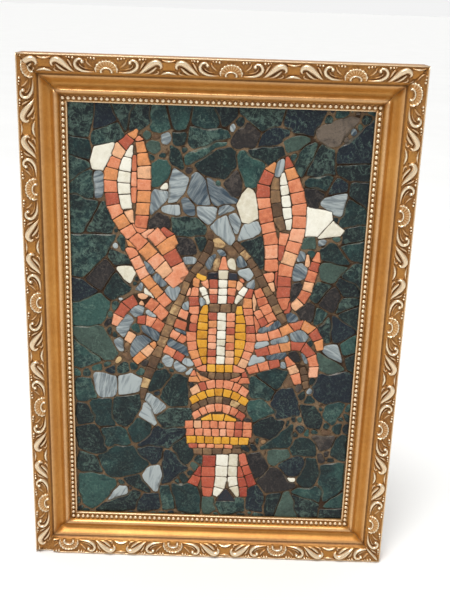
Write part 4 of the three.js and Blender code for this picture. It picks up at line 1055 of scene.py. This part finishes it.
def stroke_height(s, v, route, groove):
    """Height of a rounded carved stroke along a route of (along, across, half width, height)."""
    route = np.array(route, float)
    t = np.linspace(0, len(route) - 1, 14 * (len(route) - 1) + 1)
    smooth = np.column_stack([catmull(route[:, k], t) for k in range(4)])
    height = np.zeros_like(s)
    widest = 5
    near = (s > smooth[:, 0].min() - widest) & (s < smooth[:, 0].max() + widest)
    near_s, near_v = s[near], v[near]
    best = np.zeros_like(near_s)
    for x, y, half, raised in smooth:
        distance = np.hypot(near_s - x, near_v - y) / max(half, 0.15)
        body = np.sqrt(np.clip(1 - distance ** 2, 0, 1)) ** 0.8
        body = body * (1 - groove * np.exp(-(distance / 0.28) ** 2))
        best = np.maximum(best, raised * body)
    height[near] = best
    return height


# Strokes of half a repeat, from the middle of a shell to the middle of a lattice panel, each with
# the share of its height that a groove takes: (along, across, half width, height).
SCROLL = [(11.4, 1.2, 0.5, 1.6), (16.5, 1.3, 0.9, 2.4), (22.5, 2.2, 1.4, 3.2), (27.4, 5.2, 1.7, 3.7),
          (28.6, 8.9, 1.6, 3.7), (26.6, 12.0, 1.4, 3.4), (23.4, 12.6, 1.2, 3.0), (21.8, 11.2, 1.1, 2.8)]
SCROLL_FILLET = [(13.0, 4.0, 0.3, 1.2), (19, 4.4, 0.5, 1.8), (23.4, 6.4, 0.6, 2.1), (24.4, 8.2, 0.5, 2.0)]
LEAF = [(29.6, 0.8, 0.6, 1.6), (32.8, 2.8, 1.5, 2.8), (36.6, 6.0, 2.3, 3.8), (41.0, 9.6, 2.9, 4.2),
        (45.4, 11.6, 2.8, 4.2), (49.0, 10.6, 2.2, 3.8), (50.4, 8.0, 1.5, 3.1), (49.2, 6.0, 0.8, 2.0)]
LEAF_RIDGE = [(33.5, 4.4, 0.4, 3.4), (38.0, 8.6, 0.6, 4.5), (42.5, 11.8, 0.6, 4.6), (46.0, 12.6, 0.5, 4.3)]
LEAF_SIDE = [(34.0, 1.0, 0.5, 1.4), (38.6, 1.8, 1.0, 2.3), (42.6, 4.2, 1.3, 2.8), (45.6, 7.0, 1.0, 2.4)]
LEAF_BACK = [(30.9, 4.6, 0.5, 1.4), (32.6, 7.8, 1.1, 2.3), (34.2, 10.6, 1.0, 2.2), (35.6, 12.0, 0.5, 1.6)]
CURL = [(43.0, 1.0, 0.6, 1.5), (46.2, 1.4, 0.9, 2.1), (48.0, 3.0, 0.8, 2.0), (46.8, 4.2, 0.5, 1.6)]
FROND = [(12.4, 5.8, 0.4, 1.2), (15.0, 7.4, 0.8, 2.0), (17.6, 10.0, 0.9, 2.1), (18.4, 12.2, 0.5, 1.5)]
CREST = [(50.0, 0.8, 0.6, 1.6), (53.5, 2.0, 1.2, 2.8), (57.25, 2.6, 1.4, 3.1)]
BAR = [(51.4, 13.6, 0.6, 1.6), (54.4, 13.0, 0.8, 2.2), (57.25, 12.7, 1.1, 2.7)]
STROKES = [(SCROLL, 0.16), (SCROLL_FILLET, 0), (LEAF, 0), (LEAF_RIDGE, 0), (LEAF_SIDE, 0.25),
           (LEAF_BACK, 0.2), (CURL, 0), (FROND, 0.2), (CREST, 0), (BAR, 0)]
# Round studs in the same half: (along, across, radius, height).
STUDS = [(21.8, 10.3, 2.0, 4.0), (10.9, 13.6, 1.4, 2.9), (13.9, 13.9, 1.3, 2.8), (16.6, 14.1, 1.0, 2.3),
         (30.8, 13.7, 1.4, 2.9), (33.7, 13.9, 1.2, 2.7), (36.2, 14.1, 1.0, 2.3)]


def shell_height(s, v):
    """A scalloped, ribbed shell round an open ring at the inner edge."""
    hinge = 2.6
    angle = np.arctan2(v - hinge, s)
    radius = np.hypot(s, v - hinge)
    scallop = np.abs(np.sin(np.clip(angle, 0, math.pi) * 9))
    reach = (9.4 + 1.5 * np.abs(np.cos(angle)) ** 1.5) * (1 + 0.06 * scallop)
    share = radius / reach
    rib = 0.8 * (1 - scallop) * np.clip(share * 1.6, 0, 1)
    border = 1.2 * np.exp(-((share - 0.9) / 0.07) ** 2)
    body = 1.2 + 1.0 * share + border - rib
    edge = np.clip((1 - share) / 0.08, 0, 1) ** 0.5
    is_fan = (angle > -0.2) & (angle < math.pi + 0.2) & (v > hinge - 1.4)
    oval = np.hypot(s / 5.0, (v - 1.8) / 3.4)
    ring = 3.6 * np.sqrt(np.clip(1 - ((oval - 1) * 4.0 / 1.1) ** 2, 0, 1))
    shell = np.where(oval < 0.85, 0.5, np.where(is_fan, body * edge, 0))
    return np.maximum(shell, np.where(v > 0.5, ring, 0))


def ornament_repeat():
    """Heights of one repeat of the carving over its bed, on a grid of (along, across)."""
    along = np.arange(0, PERIOD, REPEAT_STEP)
    across = np.linspace(0, BAND_WIDTH, int(BAND_WIDTH / REPEAT_STEP) + 1)
    s, v = np.meshgrid(along, across, indexing="ij")
    mirrored = np.where(s > PERIOD / 2, PERIOD - s, s)
    height = shell_height(mirrored, v)
    for route, groove in STROKES:
        height = np.maximum(height, stroke_height(mirrored, v, route, groove))
    for x, y, radius, raised in STUDS:
        distance = np.hypot(mirrored - x, v - y) / radius
        height = np.maximum(height, raised * np.sqrt(np.clip(1 - distance ** 2, 0, 1)))
    panel = (np.abs(mirrored - PERIOD / 2) < 5.6) & (v > 4.6) & (v < 12.0)
    lattice = np.cos((mirrored + v) * math.pi / 1.3) * np.cos((mirrored - v) * math.pi / 1.3)
    height = np.where(panel & (height < 0.5), 0.9 + 0.55 * lattice, height)
    stipple = smooth_noise(s + 10, v + 10, 0.7, 51)
    height = np.where(height < 0.05, 0.4 * stipple, height)
    for line, width, raised in ((0.35, 0.45, 0.8), (14.9, 0.35, 1.0)):
        height = np.maximum(height, raised * np.sqrt(np.clip(1 - ((v - line) / width) ** 2, 0, 1)))
    return height


def blurred(grid, passes):
    """Softened copy of a grid that repeats along its first axis."""
    for _ in range(passes):
        grid = (grid + np.roll(grid, 1, axis=0) + np.roll(grid, -1, axis=0)) / 3
        padded = np.pad(grid, ((0, 0), (1, 1)), mode="edge")
        grid = (padded[:, :-2] + padded[:, 1:-1] + padded[:, 2:]) / 3
    return grid


repeat_height = blurred(ornament_repeat(), 1)
repeat_around = blurred(repeat_height, 22)


def sampled(grid, along, across):
    """Bilinear sample of a repeat grid."""
    gx = (along % PERIOD) / REPEAT_STEP
    gy = np.clip(across / BAND_WIDTH, 0, 1) * (grid.shape[1] - 1)
    ix, iy = np.floor(gx).astype(int), np.minimum(np.floor(gy).astype(int), grid.shape[1] - 2)
    fx, fy = gx - ix, gy - iy
    before, after = ix % grid.shape[0], (ix + 1) % grid.shape[0]
    low = grid[before, iy] * (1 - fx) + grid[after, iy] * fx
    high = grid[before, iy + 1] * (1 - fx) + grid[after, iy + 1] * fx
    return low * (1 - fy) + high * fy


def to_side(along, out, height, turns):
    """Places rail coordinates on one side of the opening; turns are quarter turns from the top."""
    x, y = along, out + (SIGHT_WIDTH if turns % 2 else SIGHT_HEIGHT) / 2
    cos, sin = ((1, 0), (0, 1), (-1, 0), (0, -1))[turns]
    return np.column_stack([(cos * x - sin * y).ravel(), (sin * x + cos * y).ravel(), height.ravel()])


def break_share(along, across):
    """How far the carving has broken away beside the bottom rail's left mitre, from 0 to 1."""
    edge = 170 + 1.6 * smooth_noise(across + 20, np.full(across.shape, 5), 3.0, 41)
    return np.clip((along - edge) / 1.2, 0, 1)


def build_moulding(name, node, sight_length, turns, is_broken):
    """One rail's section drawn out along it and mitred, a little uneven where it was worked."""
    section = np.array(SECTION)
    stations, ring = int(sight_length / 6), len(section)
    out, height = section[:, 0], section[:, 1]
    half = sight_length / 2 - MITRE_GAP / 2 * math.sqrt(2)
    along = np.linspace(-1, 1, stations)[:, None] * (half + out[None, :])
    heights = np.broadcast_to(height, along.shape).astype(float)
    outs = np.broadcast_to(out, along.shape)
    is_worked = (height > 14) & (out > 0.2) & (out < 43.8)
    wander = 0.12 * smooth_noise(along + 500, outs * 1.5 + 60, 14, 11 + turns)
    heights += np.where(is_worked, wander - 0.05, 0)
    if is_broken:
        carries_band = (out > 27) & (height > 22)
        heights -= np.where(carries_band, 3.6, 0) * break_share(along, outs - BAND_INNER[0])
    painted, raw = [], []
    for j in range(ring):
        k = (j + 1) % ring
        is_low = min(height[j], height[k]) < 1 and max(out[j], out[k]) < LIP + 1
        side = raw if is_low or max(height[j], height[k]) < 1 else painted
        side += [(i + k, i + j, i + ring + j, i + ring + k)
                 for i in range(0, (stations - 1) * ring, ring)]
    raw.append(tuple(range(ring)))
    raw.append(tuple((stations - 1) * ring + j for j in range(ring - 1, -1, -1)))
    surface = Surface("hollow", "rubbed")
    surface.add(to_side(along, outs, heights, turns), painted + raw,
                hollow=np.tile(section[:, 2], stations), rubbed=np.tile(section[:, 3], stations))
    surface.slots = [0] * len(painted) + [1] * len(raw)
    surface.piece(name, [GOLD, RAW_WOOD], [node])


def build_carving(name, sight_length, turns, first_shell, is_broken):
    """The carved band: a closed slab whose front is the relief."""
    step, inset = 0.42, 0.35
    across = np.linspace(0.1, BAND_WIDTH - 0.15, int(BAND_WIDTH / step) + 1)
    out = BAND_INNER[0] + across * math.cos(BAND_SLOPE)
    base = BAND_INNER[1] - 1.5 + across * math.sin(BAND_SLOPE)
    half = sight_length / 2 - inset
    rows, columns = int((sight_length + 2 * MOULDING) / step), len(across)
    along = np.linspace(-1, 1, rows)[:, None] * (half + out[None, :])
    v = np.broadcast_to(across, along.shape)
    relief = sampled(repeat_height, along - first_shell, v)
    around = sampled(repeat_around, along - first_shell, v)
    uneven = 1 + 0.12 * smooth_noise(along + 700, v + 30, 9, 23 + turns)
    ground = 0.55 * np.sin(math.pi * across / BAND_WIDTH)
    ground = ground + 0.12 * smooth_noise(along + 700, v + 30, 3, 29 + turns)
    lost = break_share(along, v) if is_broken else np.zeros_like(along)
    height = base + ground + relief * uneven * (1 - lost)
    height -= lost * (3.0 + 0.7 * smooth_noise(along + 100, v + 100, 2.2, 31))
    height = np.minimum(height, FRONT_LIMIT)
    # Painted shade in the crevices: darker where the relief lies below its surroundings or is low.
    painted_crevice_shade = np.clip((around - relief) * 0.7, 0, 0.7) + 0.5 * np.exp(-np.clip(relief, 0, 9) * 1.8)
    hollow = np.clip(painted_crevice_shade * (1 - lost) + 0.3 * lost, 0, 1)
    stands_out = np.clip(0.5 + (relief - around) * 0.5, 0, 1)
    # Pale crests: partly rubbed wear, partly a painted highlight.
    crest = np.clip((relief - 1.2) / 1.5, 0, 1) * stands_out * (1 - lost)
    front = to_side(along, np.broadcast_to(out, along.shape), height, turns)
    back = to_side(along[:, [0, -1]], np.broadcast_to(out[[0, -1]], (rows, 2)),
                   np.full((rows, 2), BAND_INNER[1] - 5.5), turns)
    faces = [tuple(face[::-1]) for face in grid_faces(rows, columns)]
    start = rows * columns
    for i in range(rows - 1):
        a, b = i * columns, (i + 1) * columns
        low, high = start + 2 * i, start + 2 * (i + 1)
        faces.append((a, low, high, b))
        faces.append((b + columns - 1, high + 1, low + 1, a + columns - 1))
        faces.append((low, low + 1, high + 1, high))
    end = start + 2 * rows
    faces.append((start, *range(columns), start + 1))
    faces.append((end - 1, *range(start - 1, start - columns - 1, -1), end - 2))
    surface = Surface("hollow", "rubbed")
    spare = np.zeros(2 * rows)
    surface.add(np.concatenate([front, back]), faces,
                hollow=np.concatenate([hollow.ravel(), spare]),
                rubbed=np.concatenate([crest.ravel(), spare]))
    surface.piece(name, [GOLD], ())


def unit_ball(segments, rings):
    """Vertices and faces of a ball of radius 1, with its poles front and back."""
    latitude = np.linspace(0, math.pi, rings + 1)[1:-1]
    longitude = np.arange(segments) / segments * 2 * math.pi
    ball = [[math.sin(a) * math.cos(b), math.sin(a) * math.sin(b), math.cos(a)]
            for a in latitude for b in longitude]
    ball = np.array([[0, 0, 1], *ball, [0, 0, -1]])
    last = len(ball) - 1
    around = [(i, (i + 1) % segments) for i in range(segments)]
    faces = [(0, 1 + i, 1 + k) for i, k in around]
    for start in range(1, last - segments, segments):
        faces += [(start + k, start + i, start + segments + i, start + segments + k) for i, k in around]
    faces += [(last, last - segments + k, last - segments + i) for i, k in around]
    return ball, faces


def build_beads(name, sight_length, turns):
    """The row of beads beside the sight edge, each a full small ball sunk in its bed."""
    run = sight_length + 2 * BEAD_OUT
    count = round(run / BEAD_PITCH)
    pitch = run / count
    ball, faces = unit_ball(14, 8)
    surface = Surface("hollow", "rubbed")
    for i in range(count):
        radius = BEAD_RADIUS * rng.uniform(0.95, 1.04)
        along = -run / 2 + i * pitch + rng.uniform(-0.08, 0.08)
        height = BEAD_HEIGHT + rng.uniform(-0.1, 0.1)
        centre = to_side(np.array([along]), np.array([BEAD_OUT]), np.array([height]), turns)[0]
        stretch = np.array([rng.uniform(0.97, 1.1), rng.uniform(0.97, 1.05), 1.0])
        # Painted shade on the back of each bead, where it meets its bed, and a painted highlight on its
        # front.
        surface.add(centre + ball * radius * stretch, faces,
                    hollow=np.clip(0.55 - ball[:, 2], 0, 1) * 0.8,
                    rubbed=np.clip(ball[:, 2], 0, 1) * 0.75)
    surface.piece(name, [GOLD], ())


RAILS = [  # side, quarter turns from the top, length along the sight edge, middle of a shell
    ("top", 0, SIGHT_WIDTH, 8), ("left", 1, SIGHT_HEIGHT, 25), ("bottom", 2, SIGHT_WIDTH, 39),
    ("right", 3, SIGHT_HEIGHT, -10.5)]


def build_frame():
    """Four rails, each with its moulding, carving and beads."""
    for side, turns, sight_length, first_shell in RAILS:
        is_broken = side == "bottom"
        build_moulding(f"moulding_{side}", f"frame_rail_{side}", sight_length, turns, is_broken)
        build_carving(f"carving_{side}", sight_length, turns, first_shell, is_broken)
        build_beads(f"beads_{side}", sight_length, turns)


def finish_board():
    """The board keeps its CAD shape and gets its material."""
    board = frame["nodes"]["backing_board"]
    board.data.materials.clear()
    board.data.materials.append(raw_board())


# ---- stage, light and camera ----

def build_stage():
    """A plain pale floor under the panel."""
    n = Nodes("pale_floor", 0.7)
    colour = n.ramp(n.noise(n.place(), 3, 2), (0.0, (0.8, 0.8, 0.79)), (1.0, (0.86, 0.86, 0.85)))
    reach = 300
    level = cad_low.z - 0.0005
    corners = [(-reach, -reach), (reach, -reach), (reach, reach), (-reach, reach)]
    mesh = bpy.data.meshes.new("floor")
    mesh.from_pydata([(x, y, level) for x, y in corners], [], [(0, 1, 2, 3)])
    mesh.materials.append(n.finish(colour))
    floor = bpy.data.objects.new("floor", mesh)
    bpy.context.collection.objects.link(floor)


def add_light(data, energy):
    data.energy = energy
    light = bpy.data.objects.new(data.name, data)
    bpy.context.collection.objects.link(light)
    return light


def build_light():
    """A pale backdrop all round, a soft dome, a large key above and in front, and a broad sun."""
    world = bpy.data.worlds.new("soft_studio")
    world.use_nodes = True
    nodes, links = world.node_tree.nodes, world.node_tree.links
    direction = nodes.new("ShaderNodeTexCoord")
    upward = nodes.new("ShaderNodeSeparateXYZ")
    brighter = nodes.new("ShaderNodeMath")
    brighter.operation = "MAXIMUM"
    links.new(direction.outputs["Generated"], upward.inputs[0])
    backdrop, dome = (0.06, 0.2, 0.9, 0.3), (0.1, 0.9, 0.46, 0.78)
    for socket, span in zip(brighter.inputs, (backdrop, dome)):
        strength = nodes.new("ShaderNodeMapRange")
        for name, value in zip(("From Min", "From Max", "To Min", "To Max"), span):
            strength.inputs[name].default_value = value
        links.new(upward.outputs["Z"], strength.inputs["Value"])
        links.new(strength.outputs[0], socket)
    links.new(brighter.outputs[0], nodes["Background"].inputs["Strength"])
    nodes["Background"].inputs["Color"].default_value = (1, 1, 1, 1)
    bpy.context.scene.world = world
    bpy.context.scene.view_settings.view_transform = "Standard"
    key = bpy.data.lights.new("key", "AREA")
    key.shape, key.size, key.color = "DISK", 0.9, (1, 0.985, 0.95)
    lamp = add_light(key, 22)
    lamp.location = (-0.35, -0.95, 2.3)
    lamp.rotation_mode = "QUATERNION"
    lamp.rotation_quaternion = (-lamp.location).to_track_quat("-Z", "Y")
    sun = bpy.data.lights.new("sun", "SUN")
    sun.angle = math.radians(28)
    add_light(sun, 1.7).rotation_euler = (math.radians(22), 0, math.radians(-18))


def build_camera():
    """A camera before the panel and above it, looking down."""
    data = bpy.data.cameras.new("camera")
    data.sensor_width = 36
    data.lens = 52.2
    camera = bpy.data.objects.new("camera", data)
    bpy.context.collection.objects.link(camera)
    camera.location = (0.0055, -0.8486, 0.3101)
    camera.rotation_euler = Euler([math.radians(a) for a in (71.425, -1.831, 0.351)], "XYZ")
    bpy.context.scene.camera = camera


build_camera()
build_light()
build_stage()
finish_board()
build_mortar(build_picture())
build_frame()
